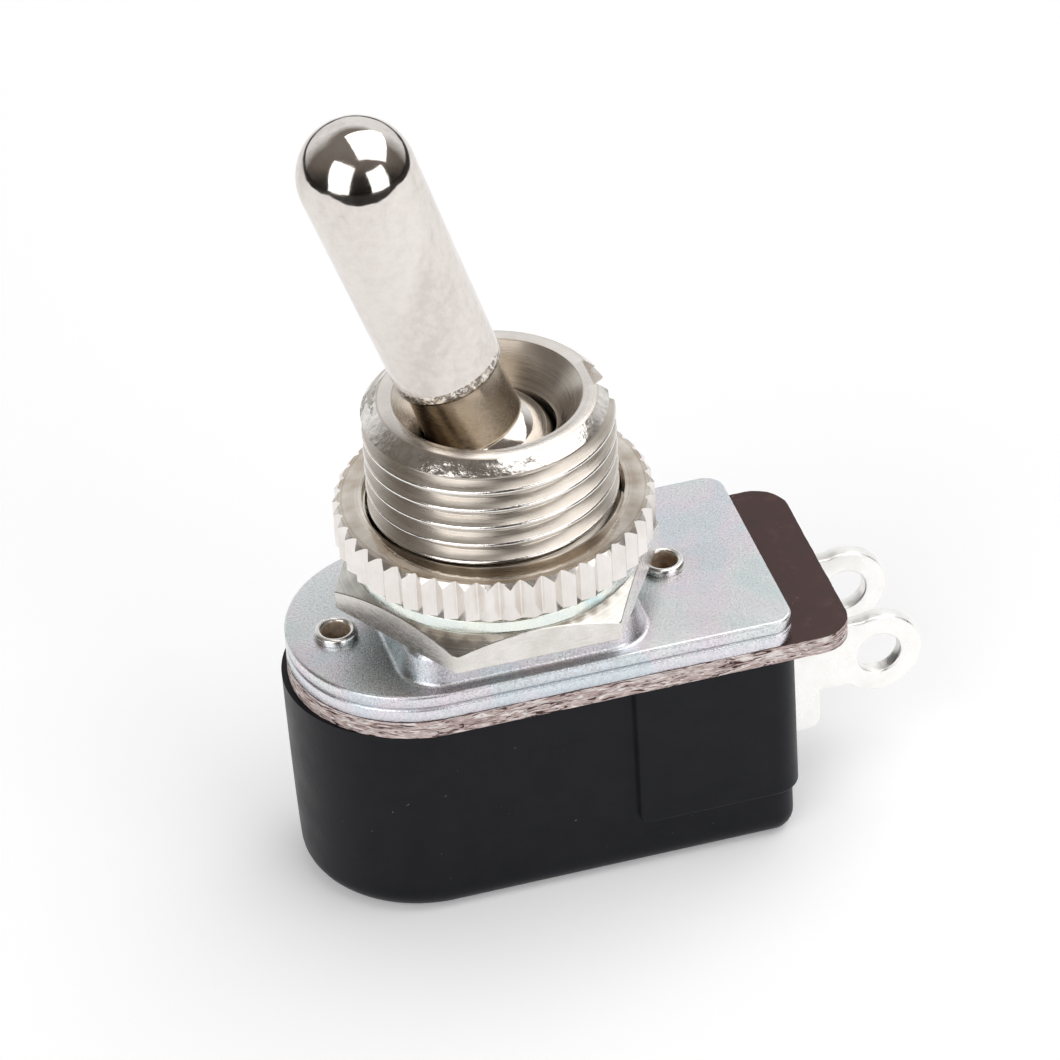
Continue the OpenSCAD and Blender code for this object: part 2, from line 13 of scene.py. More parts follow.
import bmesh
import bpy
import numpy as np
from mathutils import Matrix, Vector


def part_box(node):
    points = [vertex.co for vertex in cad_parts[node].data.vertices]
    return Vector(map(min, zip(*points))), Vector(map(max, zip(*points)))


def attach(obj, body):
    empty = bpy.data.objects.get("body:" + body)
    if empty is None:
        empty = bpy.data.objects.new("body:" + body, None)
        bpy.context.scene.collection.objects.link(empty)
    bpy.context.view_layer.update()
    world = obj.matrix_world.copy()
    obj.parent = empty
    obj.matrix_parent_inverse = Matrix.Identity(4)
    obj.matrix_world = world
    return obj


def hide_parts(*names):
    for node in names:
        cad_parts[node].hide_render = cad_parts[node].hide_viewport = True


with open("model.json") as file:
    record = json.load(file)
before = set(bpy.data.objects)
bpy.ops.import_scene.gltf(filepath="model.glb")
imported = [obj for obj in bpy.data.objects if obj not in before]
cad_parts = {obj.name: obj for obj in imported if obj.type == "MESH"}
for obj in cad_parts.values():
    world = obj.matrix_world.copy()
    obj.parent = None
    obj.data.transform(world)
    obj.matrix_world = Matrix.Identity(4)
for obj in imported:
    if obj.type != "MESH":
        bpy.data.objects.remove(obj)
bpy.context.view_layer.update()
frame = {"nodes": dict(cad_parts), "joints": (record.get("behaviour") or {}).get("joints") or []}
MM = 0.001
TURN = 2 * math.pi

# %% [markdown]
# ## Where the pieces are
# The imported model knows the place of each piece, so heights and reaches are read from its boxes
# instead of being typed again. The lowest and highest corner of a node are enough for most turned
# and stamped pieces. The lever leans about the axis of its joint, which the model knows as well.

# %% Read the heights and reaches of the pieces


def reach(node):
    """The lowest and highest corner of a CAD node, in millimetres."""
    low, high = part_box(node)
    return np.array(low) / MM, np.array(high) / MM


case_low = reach("case")[0]
board_low, board_high = reach("insulating_board")
lower_low, lower_high = reach("lower_plate")
upper_low, upper_high = reach("upper_plate")
bushing_low, bushing_high = reach("threaded_bushing")
hex_low, hex_high = reach("hex_nut")
washer_low, washer_high = reach("lock_washer")
knurl_low, knurl_high = reach("knurled_nut")

LEAN = math.radians(17.5)
throw = next(joint for joint in frame["joints"] if joint["name"] == "lever_throw")
PIVOT = np.array(throw["pos_m"]) / MM
print("bushing top", bushing_high[2].round(3), "mm, floor", case_low[2].round(3), "mm, pivot", PIVOT)

# %% [markdown]
# ## Camera
# The switch stands on its case and is seen from the front, a little from the left and well from
# above, with a long lens, so its upright edges stay nearly parallel. The camera is placed by its
# azimuth, its elevation and a small roll about its own axis, around a point inside the switch.

# %% Place the camera
LENS = 243.04
AZIMUTH, ELEVATION, ROLL = (math.radians(angle) for angle in (-14.017, 36.296, -3.569))
AIM = Vector((0.002041, 0.001480, 0.002597))
DISTANCE = 0.342052


def towards(azimuth, elevation):
    """The unit vector to a direction: (sin a cos e, -cos a cos e, sin e)."""
    flat = math.cos(elevation)
    return Vector((math.sin(azimuth) * flat, -math.cos(azimuth) * flat, math.sin(elevation)))


back = towards(AZIMUTH, ELEVATION)
level = Vector((math.cos(AZIMUTH), math.sin(AZIMUTH), 0))
right = math.cos(ROLL) * level + math.sin(ROLL) * back.cross(level)
up = back.cross(right)

camera = bpy.data.objects.new("camera", bpy.data.cameras.new("camera"))
camera.data.lens = LENS
camera.data.sensor_width = 36
camera.matrix_world = Matrix((right, up, back)).transposed().to_4x4()
camera.location = AIM + DISTANCE * back
bpy.context.scene.collection.objects.link(camera)
bpy.context.scene.camera = camera
bpy.context.scene.view_settings.view_transform = "Standard"
print("camera at", [round(c / MM, 1) for c in camera.location], "mm")

# %% [markdown]
# ## Closed meshes
# A mesh can be typed in vertex by vertex, modelled by hand or worked out. Here all are worked out,
# so one helper takes points and faces and leaves a clean solid: it merges the points that meet,
# makes the faces point outwards by the sign of the volume, and keeps an edge crisp only where the
# surface really turns.

# %% A helper for closed meshes


def add_object(name, mesh):
    """Puts a mesh in the scene at the origin, unturned and unscaled."""
    piece = bpy.data.objects.new(name, mesh)
    bpy.context.scene.collection.objects.link(piece)
    return piece


def outwards(mesh):
    """Turns all faces round if the volume that they enclose, the sum of the signed volumes of the
    tetrahedra from the origin to each triangle, is negative."""
    mesh.calc_loop_triangles()
    corners = np.zeros(len(mesh.loop_triangles) * 3, np.int32)
    mesh.loop_triangles.foreach_get("vertices", corners)
    places = np.zeros(len(mesh.vertices) * 3)
    mesh.vertices.foreach_get("co", places)
    a, b, c = places.reshape(-1, 3)[corners.reshape(-1, 3)].transpose(1, 0, 2)
    if np.einsum("ij,ij->", a, np.cross(b, c)) < 0:
        mesh.flip_normals()


def sharpen(mesh, crease):
    """Smooth shading, broken where two faces meet at more than the crease angle in degrees."""
    mesh.shade_smooth()
    mesh.set_sharp_from_angle(angle=math.radians(crease))


def solid(name, points, faces, crease=35, close_ends=False):
    """A closed mesh from points in millimetres and faces. Points that meet are merged, and open
    ends are closed with a fan of triangles around their middle."""
    mesh = bpy.data.meshes.new(name)
    mesh.from_pydata((np.asarray(points) * MM).tolist(), [], faces)
    form = bmesh.new()
    form.from_mesh(mesh)
    bmesh.ops.remove_doubles(form, verts=form.verts, dist=1e-7)
    bmesh.ops.dissolve_degenerate(form, edges=form.edges, dist=1e-8)
    if close_ends:
        rims = [edge for edge in form.edges if edge.is_boundary]
        lids = bmesh.ops.holes_fill(form, edges=rims)["faces"]
        bmesh.ops.poke(form, faces=lids)
    form.to_mesh(mesh)
    form.free()
    outwards(mesh)
    sharpen(mesh, crease)
    return add_object(name, mesh)


print("mesh helper ready")

# %% [markdown]
# ## A surface from a grid
# A turned, rolled or stamped piece is a profile carried round an axis or along an outline. Its
# points fill a grid with rows and columns, and each cell of the grid is one face. A spin or a
# screw modifier could turn a profile too, but a grid of points also takes radii and heights that
# change on the way round, as knurls and chamfered flats need.

# %% Helpers for grids


def lattice(name, points, wrap_rows=False, wrap_columns=True, lids=False, crease=35, close_ends=False):
    """A mesh from a grid of points of shape (rows, columns, 3): the cell between row i and i + 1
    and column j and j + 1 is one face. With lids, the first and the last row get a flat face."""
    number = np.arange(points.shape[0] * points.shape[1]).reshape(points.shape[:2])
    ends = [number[0, ::-1].tolist(), number[-1].tolist()] if lids else []
    if wrap_rows:
        number = np.vstack([number, number[:1]])
    if wrap_columns:
        number = np.hstack([number, number[:, :1]])
    cells = np.stack([number[:-1, :-1], number[:-1, 1:], number[1:, 1:], number[1:, :-1]], -1)
    return solid(name, points.reshape(-1, 3), cells.reshape(-1, 4).tolist() + ends, crease, close_ends)


def even(count, shift=0.0):
    """Angles with even steps round a full turn, moved on by a share of a step."""
    return (np.arange(count) + shift) * TURN / count


def around(radius, height, angles):
    """Points of a surface of revolution: (r cos a, r sin a, z). radius and height have one value
    for each row, or a grid of rows by columns where they change with the angle."""
    radius, height = (np.asarray(v, float) for v in (radius, height))
    radius = radius if radius.ndim == 2 else radius[:, None]
    height = height if height.ndim == 2 else height[:, None]
    return np.stack(np.broadcast_arrays(radius * np.cos(angles), radius * np.sin(angles), height), -1)


def ring(name, rows, angles, x=0.0, crease=35):
    """A closed ring around an upright axis at x. Its rows of (radius, height) go once round the
    ring's section, and each value is one number or changes with the angle."""
    radius, height = (
        np.stack([np.broadcast_to(value, angles.shape) for value in part]) for part in zip(*rows))
    return lattice(name, around(radius, height, angles) + [x, 0, 0], wrap_rows=True, crease=crease)


def arc(centre, radius, start, end, count):
    """Points (x, y) on a circle's arc from start to end, in degrees."""
    angle = np.radians(np.linspace(start, end, count))
    return np.stack([centre[0] + radius * np.cos(angle), centre[1] + radius * np.sin(angle)], -1)


def rolled_edge(roll, high, degrees):
    """Inset and height up a rounded edge that ends in a face: (r - r cos a, high - r + r sin a)."""
    turn = np.radians(degrees)
    return np.column_stack([roll - roll * np.cos(turn), high - roll + roll * np.sin(turn)])


print("grid helpers ready")

# %% [markdown]
# ## Holes and joins
# Holes, slots and unions are easiest as booleans with a simple cutter, as they are drilled or
# milled on the real piece. The result replaces the mesh, and the cutter is deleted.

# %% Helpers for holes and joins


def settle(piece, crease=35):
    """Applies the modifiers of a piece to its mesh."""
    graph = bpy.context.evaluated_depsgraph_get()
    mesh = bpy.data.meshes.new_from_object(piece.evaluated_get(graph))
    piece.modifiers.clear()
    piece.data = mesh
    sharpen(mesh, crease)
    return piece


def carve(piece, tool, operation="DIFFERENCE", crease=35):
    """Cuts the tool's solid out of the piece, or joins or intersects them. Both are made a
    thousand times larger for it, because the boolean welds points closer than a micrometre."""
    for one in (piece, tool):
        one.data.transform(Matrix.Scale(1 / MM, 4))
    step = piece.modifiers.new("carve", "BOOLEAN")
    step.operation = operation
    step.solver = "EXACT"
    step.object = tool
    settle(piece, crease)
    piece.data.transform(Matrix.Scale(MM, 4))
    bpy.data.objects.remove(tool)
    return piece


def box(low, high):
    """A block between two corners, in millimetres."""
    corners = np.array([[(low, high)[(i >> k) & 1][k] for k in range(3)] for i in range(8)], float)
    faces = [(0, 2, 3, 1), (4, 5, 7, 6), (0, 1, 5, 4), (2, 6, 7, 3), (0, 4, 6, 2), (1, 3, 7, 5)]
    return solid("block", corners, faces)


def rod(x, radius, low, high):
    """An upright cylinder around (x, 0), from one height to another."""
    return lattice("rod", around([radius] * 2, [low, high], even(48)) + [x, 0, 0], lids=True)


print("cutters ready")

# %% [markdown]
# ## Handing a piece over
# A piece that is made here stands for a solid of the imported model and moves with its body. Where
# plating, polish or wear differ from place to place, one piece has several finishes, and the
# place of a face tells which one it gets. The functions that choose leave a small margin, because
# the middle of a flat face lies a little inside the round surface that it stands for.

# %% A helper for finished pieces


def finish_piece(piece, body, node, finishes, choose=None):
    """Gives a piece its finishes and its body, and hides the CAD node that it stands for. choose
    turns the middles of all its faces, in millimetres, into finish numbers at once."""
    for finish in finishes:
        piece.data.materials.append(finish)
    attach(piece, body)
    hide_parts(node)
    chosen = np.zeros(len(piece.data.polygons), np.int32)
    if choose:
        middles = np.zeros(len(chosen) * 3)
        piece.data.polygons.foreach_get("center", middles)
        chosen[:] = choose(middles.reshape(-1, 3) / MM)
        piece.data.polygons.foreach_set("material_index", chosen)
    print(piece.name, "has", np.bincount(chosen).tolist(), "faces of each finish")


def axis_places(middles, x=0.0):
    """Distance from an upright axis at x, and height."""
    return np.hypot(middles[:, 0] - x, middles[:, 1]), middles[:, 2]


# %% [markdown]
# ## A finish from nodes
# Every finish reads Object coordinates, scaled to millimetres, so that a scratch or a grain has
# its real size. Painting an image would tie a finish to one piece, while nodes in the object's
# own space serve them all. Small helpers keep the graphs short: one adds a node and wires it, one
# starts a finish, and two give the coordinates.

# %% Helpers that start a finish


def add_node(tree, kind, inputs=None, **settings):
    """Adds a node. Each input is a number or colour, or the socket that feeds it."""
    made = tree.nodes.new("ShaderNode" + kind)
    for name, value in settings.items():
        setattr(made, name, value)
    for name, value in (inputs or {}).items():
        if isinstance(value, bpy.types.NodeSocket):
            tree.links.new(value, made.inputs[name])
        else:
            made.inputs[name].default_value = value
    return made


def blank_finish(name, **values):
    """A Principled finish: its node tree, and a function that wires patterns to the shader's
    sockets and gives the finish back. Values that are the same all over go straight on sockets."""
    material = bpy.data.materials.new(name)
    material.use_nodes = True
    tree = material.node_tree
    shader = tree.nodes["Principled BSDF"]
    for socket, value in values.items():
        shader.inputs[socket.replace("_", " ")].default_value = value

    def wire(**patterns):
        for socket, pattern in patterns.items():
            tree.links.new(pattern, shader.inputs[socket.replace("_", " ")])
        return material

    return tree, wire


def in_mm(tree, squeeze=(1, 1, 1), turn=(0, 0, 0), centre=(0, 0, 0)):
    """Object coordinates in millimetres about a centre, turned, then squeezed along each axis:
    a squeeze below 1 draws a pattern out along that axis."""
    place = add_node(tree, "TexCoord").outputs["Object"]
    moved = add_node(tree, "Mapping", {
        "Vector": place,
        "Scale": (1 / MM, 1 / MM, 1 / MM),
        "Location": tuple(-c for c in centre),
    })
    turned = add_node(tree, "Mapping", {"Vector": moved.outputs[0], "Rotation": turn})
    return add_node(tree, "Mapping", {"Vector": turned.outputs[0], "Scale": squeeze}).outputs[0]


def on_lever(tree, squeeze=(1, 1, 1)):
    """Millimetres about the lever's pivot, with Z along the lever."""
    return in_mm(tree, squeeze, (0, -LEAN, 0), tuple(PIVOT))


print("finishes start from", len(bpy.data.materials), "materials of the packed model")

# %% [markdown]
# ## Patterns, colours and bumps
# A pattern is a number from 0 to 1 at each place. The same pattern can steer the colour, the
# roughness and the bump, which is what makes them look like one thing, such as a stain that is
# also dull.

# %% Helpers for patterns


def noise(tree, where, scale, detail=2.0, roughness=0.5, distortion=0.0):
    """Noise with about scale grains to the millimetre."""
    return add_node(tree, "TexNoise", {
        "Vector": where, "Scale": scale, "Detail": detail,
        "Roughness": roughness, "Distortion": distortion,
    }).outputs["Fac"]


def combine(tree, operation, first, second):
    """One sum, such as ADD or MAXIMUM, with two numbers or sockets."""
    return add_node(tree, "Math", {0: first, 1: second}, operation=operation).outputs[0]


def sum_of(tree, *parts):
    """The weighted sum of (socket, weight) pairs."""
    total = None
    for socket, weight in parts:
        scaled = combine(tree, "MULTIPLY", socket, weight)
        total = scaled if total is None else combine(tree, "ADD", total, scaled)
    return total


def spread(tree, socket, low, high, out_low=0.0, out_high=1.0):
    """Stretches the part of a value between low and high over out_low to out_high."""
    return add_node(tree, "MapRange", {
        "Value": socket, "From Min": low, "From Max": high, "To Min": out_low, "To Max": out_high,
    }).outputs["Result"]


def rough_by(tree, pattern, first, last):
    """Roughness from first to last over the middle of a pattern, where most of it lies."""
    return spread(tree, pattern, 0.3, 0.7, first, last)


def tone(tree, socket, *stops):
    """A colour ramp through (position, (r, g, b)) stops."""
    ramp = add_node(tree, "ValToRGB", {"Fac": socket})
    points = ramp.color_ramp.elements
    while len(points) < len(stops):
        points.new(0.5)
    for point, (position, colour) in zip(points, stops):
        point.position = position
        point.color = (*colour, 1)
    return ramp.outputs["Color"]


def blend_colours(tree, share, first, second):
    """Mixes two colours, each a socket or (r, g, b)."""
    made = add_node(tree, "Mix", {0: share}, data_type="RGBA", blend_type="MIX")
    for index, value in ((6, first), (7, second)):
        if isinstance(value, bpy.types.NodeSocket):
            tree.links.new(value, made.inputs[index])
        else:
            made.inputs[index].default_value = (*value, 1)
    return made.outputs[2]


def emboss(tree, height, depth, strength=1.0, under=None):
    """A bump from a height of 0 to 1, depth in millimetres, on top of another bump."""
    inputs = {"Height": height, "Distance": depth * MM, "Strength": strength}
    if under is not None:
        inputs["Normal"] = under
    return add_node(tree, "Bump", inputs).outputs["Normal"]


def turning_lines(tree, where, per_mm, wander=0.25):
    """Fine rings left by the lathe: noise of the distance from the axis and of the height, drawn
    out all the way round by leaving the angle out."""
    apart = add_node(tree, "SeparateXYZ", {"Vector": where})
    flat = add_node(tree, "CombineXYZ", {"X": apart.outputs[0], "Y": apart.outputs[1]})
    away = add_node(tree, "VectorMath", {0: flat.outputs[0]}, operation="LENGTH").outputs["Value"]
    drift = noise(tree, where, 0.35, 1.0)
    ripple = sum_of(tree, (away, 1.0), (drift, wander / per_mm))
    line = add_node(tree, "CombineXYZ", {"X": ripple, "Y": apart.outputs[2]})
    return noise(tree, line.outputs[0], per_mm, 3.0, 0.6)


print("patterns ready")

# %% [markdown]
# ## Floor
# The switch stands on a white sheet of paper that ends not far in front of it, on a dark table.
# Polished metal mirrors both: the paper lights it from below, and the dark table keeps dark
# bands in the polish. Camera rays see the table as white, so that the picture has a plain ground.

# %% Make the paper and the table
PAPER_LOW, PAPER_HIGH = (-200.0, -86.0), (160.0, 250.0)
TABLE_HALF, PAPER_T = 1500.0, 0.3
BLACK, WHITE = (0, 0, 0), (1, 1, 1)
MATT = {"Roughness": 0.9, "Specular_IOR_Level": 0.1, "Emission_Strength": 1.0}


def flat_sheet(name, low, high, z, finish):
    """One level face between two corners, in millimetres."""
    corners = [(low[0], low[1]), (high[0], low[1]), (high[0], high[1]), (low[0], high[1])]
    mesh = bpy.data.meshes.new(name)
    mesh.from_pydata([(x * MM, y * MM, z * MM) for x, y in corners], [], [(0, 1, 2, 3)])
    mesh.materials.append(finish)
    return add_object(name, mesh)


def white_paper():
    """Matt paper. A little light of its own, for camera and mirror rays, whitens its shadows."""
    tree, wire = blank_finish("white_paper", **MATT)
    grain = noise(tree, in_mm(tree), 0.02, 1.0)
    ray = add_node(tree, "LightPath").outputs
    seen = combine(tree, "MAXIMUM", ray["Is Camera Ray"], ray["Is Glossy Ray"])
    return wire(
        Base_Color=tone(tree, grain, (0.3, (0.87, 0.875, 0.89)), (0.7, (0.89, 0.892, 0.90))),
        Emission_Color=blend_colours(tree, seen, BLACK, (0.185, 0.187, 0.192)))


def dark_table():
    """A dark table top that camera rays see as white."""
    tree, wire = blank_finish("dark_table", **MATT)
    wood = noise(tree, in_mm(tree), 0.03, 2.0)
    seen = add_node(tree, "LightPath").outputs["Is Camera Ray"]
    return wire(
        Base_Color=tone(tree, wood, (0.3, (0.020, 0.018, 0.016)), (0.7, (0.03, 0.027, 0.025))),
        Emission_Color=blend_colours(tree, seen, BLACK, WHITE))


paper = flat_sheet("paper", PAPER_LOW, PAPER_HIGH, case_low[2], white_paper())
table_low, table_high = (-TABLE_HALF, -TABLE_HALF), (TABLE_HALF, TABLE_HALF)
table = flat_sheet("table", table_low, table_high, case_low[2] - PAPER_T, dark_table())
print("floor at", case_low[2].round(2), "mm")

# %% [markdown]
# ## Light
# Polished metal shows its surroundings, so the studio matters as much as the metal. The wall
# behind is light up to about forty degrees, and the room overhead and in front is dark, apart from
# three large soft boxes that stand out as bright patches in the lever's dome. One flat sky would
# light the switch as well, but the metal would then look like grey plastic.

# %% Make the surroundings and the soft boxes
BOX_DISTANCE = 0.60


def make_surroundings():
    """Sky brightness by direction: a light wall behind, times a fall-off with height, over a dark
    room that is blackest low in front. Camera rays see plain white."""
    world = bpy.data.worlds.new("studio")
    bpy.context.scene.world = world
    world.use_nodes = True
    tree = world.node_tree
    way = add_node(tree, "TexCoord").outputs["Generated"]
    height = add_node(tree, "SeparateXYZ", {"Vector": way}).outputs["Z"]
    behind = add_node(
        tree, "VectorMath", {0: way, 1: (0.25, 0.97, 0)}, operation="DOT_PRODUCT").outputs["Value"]
    wall = combine(
        tree, "MULTIPLY", spread(tree, behind, 0.30, 0.72), spread(tree, height, 0.76, 0.58))
    room = tone(
        tree, spread(tree, sum_of(tree, (height, 1.0), (behind, 0.6)), -0.6, 0.9),
        (0.0, (0.012, 0.011, 0.010)), (0.35, (0.035, 0.031, 0.028)),
        (0.62, (0.16, 0.14, 0.122)), (1.0, (0.22, 0.20, 0.18)))
    sky = blend_colours(tree, wall, room, (0.93, 0.935, 0.94))
    seen = add_node(tree, "LightPath").outputs["Is Camera Ray"]
    tree.links.new(blend_colours(tree, seen, sky, WHITE), tree.nodes["Background"].inputs["Color"])


def soft_box(name, azimuth, elevation, width, height, glow):
    """An area lamp at a direction from the switch's middle, facing it. Its power is its
    brightness times pi times its area."""
    light = bpy.data.lights.new(name, "AREA")
    light.shape = "RECTANGLE"
    light.size, light.size_y = width, height
    light.energy = glow * math.pi * width * height
    away = towards(math.radians(azimuth), math.radians(elevation))
    lamp = bpy.data.objects.new(name, light)
    lamp.location = BOX_DISTANCE * away
    lamp.rotation_euler = away.to_track_quat("Z", "Y").to_euler()
    bpy.context.scene.collection.objects.link(lamp)


make_surroundings()
# Name, azimuth and elevation in degrees, width and height in metres, brightness.
soft_box("top_box", 96, 66, 0.70, 0.66, 1.75)
soft_box("left_box", -49, 27, 0.48, 0.62, 1.9)
soft_box("right_box", 30, 15, 0.40, 0.52, 1.9)
print("soft boxes:", [light.name for light in bpy.data.lights])

# %% [markdown]
# ## Polished nickel
# The lever is polished brass under bright nickel. It is nearly a mirror, with a faint waviness
# from polishing, so the bump stays shallow and the roughness low. The end of the bushing was
# tumbled instead: just as bright, but over coarse pits, which break its reflections into flakes.
# A metal with one even roughness would give neither look, because the eye reads a polish from
# how its reflections bend and break.

# %% Mix the polished nickel


def bright_nickel():
    """Polished nickel with soft waves and faint smears drawn out along the lever."""
    tree, wire = blank_finish("bright_nickel", Metallic=1.0)
    place = in_mm(tree)
    drawn_out = noise(tree, on_lever(tree, (1, 1, 0.12)), 0.5, 2.0)
    smear = sum_of(tree, (drawn_out, 0.5), (noise(tree, place, 2.2, 6.0, 0.75), 0.5))
    colour = tone(
        tree, smear, (0.38, (0.64, 0.595, 0.555)), (0.48, (0.715, 0.67, 0.63)),
        (0.60, (0.77, 0.73, 0.69)))
    waves = emboss(tree, noise(tree, place, 0.8, 2.0, 0.45), 0.045, 0.6)
    grain = emboss(tree, noise(tree, place, 9.0, 3.0), 0.0008, 0.5, waves)
    return wire(
        Base_Color=colour, Roughness=spread(tree, smear, 0.38, 0.62, 0.14, 0.05), Normal=grain)


def tumbled_nickel():
    """Polished by tumbling: a bright skin over coarse pits and waves, which breaks reflections
    into bright and black flakes."""
    tree, wire = blank_finish("tumbled_nickel", Metallic=1.0, Roughness=0.05)
    place = in_mm(tree)
    pits = noise(tree, place, 3.0, 5.0, 0.55)
    waves = emboss(tree, noise(tree, place, 0.6, 2.0), 0.12, 0.9)
    return wire(
        Base_Color=tone(tree, pits, (0.3, (0.60, 0.57, 0.53)), (0.6, (0.82, 0.79, 0.75))),
        Normal=emboss(tree, pits, 0.035, 0.7, waves))


LEVER_NICKEL = bright_nickel()
BEVEL_NICKEL = tumbled_nickel()
print("polished:", LEVER_NICKEL.name, BEVEL_NICKEL.name)

# %% [markdown]
# ## Turned and milled nickel
# The nuts, the rivets and the bushing are nickelled as they left the machine: the same metal,
# rougher, warmer and lined with tool marks. A lathe leaves rings around the axis and a milling
# cutter leaves straight lines, so there is one finish for each, with its colours, its grain and
# its depth handed in.

# %% Mix the turned and milled nickel


def turned_nickel(name, warm, pale, lines_per_mm, line_depth, rough, pits=0.003):
    """Nickel over lathe marks: rings in the bump, clouds in the colour."""
    tree, wire = blank_finish(name, Metallic=1.0)
    place = in_mm(tree)
    lines = turning_lines(tree, place, lines_per_mm)
    tint = sum_of(tree, (noise(tree, place, 0.7, 3.0), 0.6), (lines, 0.4))
    ringed = emboss(tree, lines, line_depth, 0.9)
    return wire(
        Base_Color=tone(tree, tint, (0.35, warm), (0.65, pale)),
        Roughness=rough_by(tree, lines, rough * 0.8, rough * 1.25),
        Normal=emboss(tree, noise(tree, place, 6.0, 4.0, 0.65), pits, 0.6, ringed))


def milled_nickel(name, squeeze, dark, pale, rough):
    """Nickelled faces with tool marks: noise drawn out along the marks' direction."""
    tree, wire = blank_finish(name, Metallic=1.0)
    marks = noise(tree, in_mm(tree, squeeze), 9.0, 4.0, 0.65)
    tint = sum_of(tree, (noise(tree, in_mm(tree), 0.6, 3.0), 0.55), (marks, 0.45))
    return wire(
        Base_Color=tone(tree, tint, (0.38, dark), (0.62, pale)),
        Roughness=rough_by(tree, marks, rough * 0.8, rough * 1.3),
        Normal=emboss(tree, marks, 0.005, 0.7))


# Name, warm and pale tone, lines to the millimetre, their depth, roughness, depth of the pits.
FLANK_NICKEL = turned_nickel(
    "flank_nickel", (0.53, 0.48, 0.425), (0.68, 0.63, 0.57), 7, 0.0025, 0.29, 0.006)
# Painted highlight: the crest's tones are much paler than the flank's and stand in for the line of
# light along the crests.
CREST_HIGHLIGHT_NICKEL = turned_nickel(
    "crest_highlight_nickel", (0.82, 0.79, 0.75), (0.92, 0.90, 0.87), 7, 0.002, 0.08, 0.02)
RIM_NICKEL = turned_nickel(
    "rim_nickel", (0.70, 0.65, 0.60), (0.84, 0.80, 0.76), 9, 0.004, 0.24, 0.008)
BORE_NICKEL = turned_nickel(
    "bore_nickel", (0.60, 0.55, 0.49), (0.76, 0.71, 0.65), 8, 0.006, 0.24)
NUT_NICKEL = turned_nickel(
    "nut_nickel", (0.44, 0.375, 0.30), (0.78, 0.73, 0.67), 8, 0.004, 0.06)
CHAMFER_NICKEL = turned_nickel(
    "chamfer_nickel", (0.36, 0.345, 0.31), (0.72, 0.70, 0.66), 6, 0.008, 0.20)
RIVET_NICKEL = turned_nickel(
    "rivet_nickel", (0.72, 0.70, 0.68), (0.88, 0.87, 0.86), 8, 0.003, 0.24)
# Name, squeeze of the marks, dark and pale tone, roughness.
KNURL_NICKEL = milled_nickel(
    "knurl_nickel", (1, 1, 0.2), (0.76, 0.72, 0.68), (0.86, 0.83, 0.80), 0.20)
HEX_NICKEL = milled_nickel(
    "hex_nickel", (0.25, 0.25, 1), (0.66, 0.64, 0.60), (0.82, 0.79, 0.76), 0.24)
print("nickel finishes:", sum(m.name.endswith("nickel") for m in bpy.data.materials))

# %% [markdown]
# ## Lever
# The lever is one turned piece: a ball held in the bushing, a slim neck, a handle that widens
# towards its round end, and a small chamfer where the handle meets the neck. Its profile is drawn
# upright around its own axis, turned into a surface, and then leaned over about the ball's middle,
# which is the axis of the joint. Turning the object would be shorter, but every piece has to stay
# unturned, so the points are turned instead.

# %% Make the lever
BALL_R = 3.4
NECK_R, NECK_ROOT, NECK_ROOT_RISE = 2.35, 0.12, 0.16
HANDLE_LOW_R, HANDLE_TOP_R = 2.63, 2.805
HANDLE_START, CHAMFER_H, CHAMFER_ROUND = 5.7, 0.37, 0.3
CHAMFER_TOP = HANDLE_START + CHAMFER_H
NECK_FOOT, STAIN_TOP = 2.5, CHAMFER_TOP + 0.4
LEVER_REACH = 20.817
ROD_HOLE_R, ROD_HOLE_TOP = 0.77, -1.4
PIN_HOLE_R, PIN_REACH = 0.62, 4


def leaned(points):
    """Points drawn about the ball's middle, turned by the lean towards -X and moved to the pivot:
    (x cos a - z sin a, y, x sin a + z cos a)."""
    x, y, z = np.moveaxis(points, -1, 0)
    cos, sin = math.cos(LEAN), math.sin(LEAN)
    return np.stack([x * cos - z * sin, y, x * sin + z * cos], -1) + PIVOT


def lever_profile():
    """Radius and height of the lever from its rod hole to its tip."""
    neck_angle = math.degrees(math.acos(NECK_R / BALL_R))
    hole_angle = math.degrees(math.acos(ROD_HOLE_R / BALL_R))
    ball = arc((0, 0), BALL_R, -hole_angle, neck_angle, 40)
    root = arc((NECK_R + NECK_ROOT, ball[-1][1] + NECK_ROOT_RISE), NECK_ROOT, 270, 180, 5)
    neck = [[NECK_R, HANDLE_START - 0.2], [NECK_R + 0.01, HANDLE_START]]
    chamfer = arc((HANDLE_LOW_R - CHAMFER_ROUND, CHAMFER_TOP), CHAMFER_ROUND, -48, 0, 8)
    foot = [[HANDLE_LOW_R + 0.006, STAIN_TOP]]
    dome = arc((0, LEVER_REACH - HANDLE_TOP_R), HANDLE_TOP_R, 0, 88.5, 34)
    return np.vstack([[[ROD_HOLE_R, ROD_HOLE_TOP]], ball, root[1:], neck, chamfer, foot, dome])


def make_lever():
    """The leaned surface of revolution, with the cross pin's hole drilled through the ball."""
    points = leaned(around(*lever_profile().T, even(128)))
    piece = lattice("bat_lever_turned", points, lids=True, crease=28)
    pin = leaned(around([PIN_HOLE_R] * 2, [-PIN_REACH, PIN_REACH], even(32))[..., [0, 2, 1]])
    return carve(piece, lattice("pin", pin, lids=True), crease=28)


lever = make_lever()
print(lever.name, "has", len(lever.data.polygons), "faces")
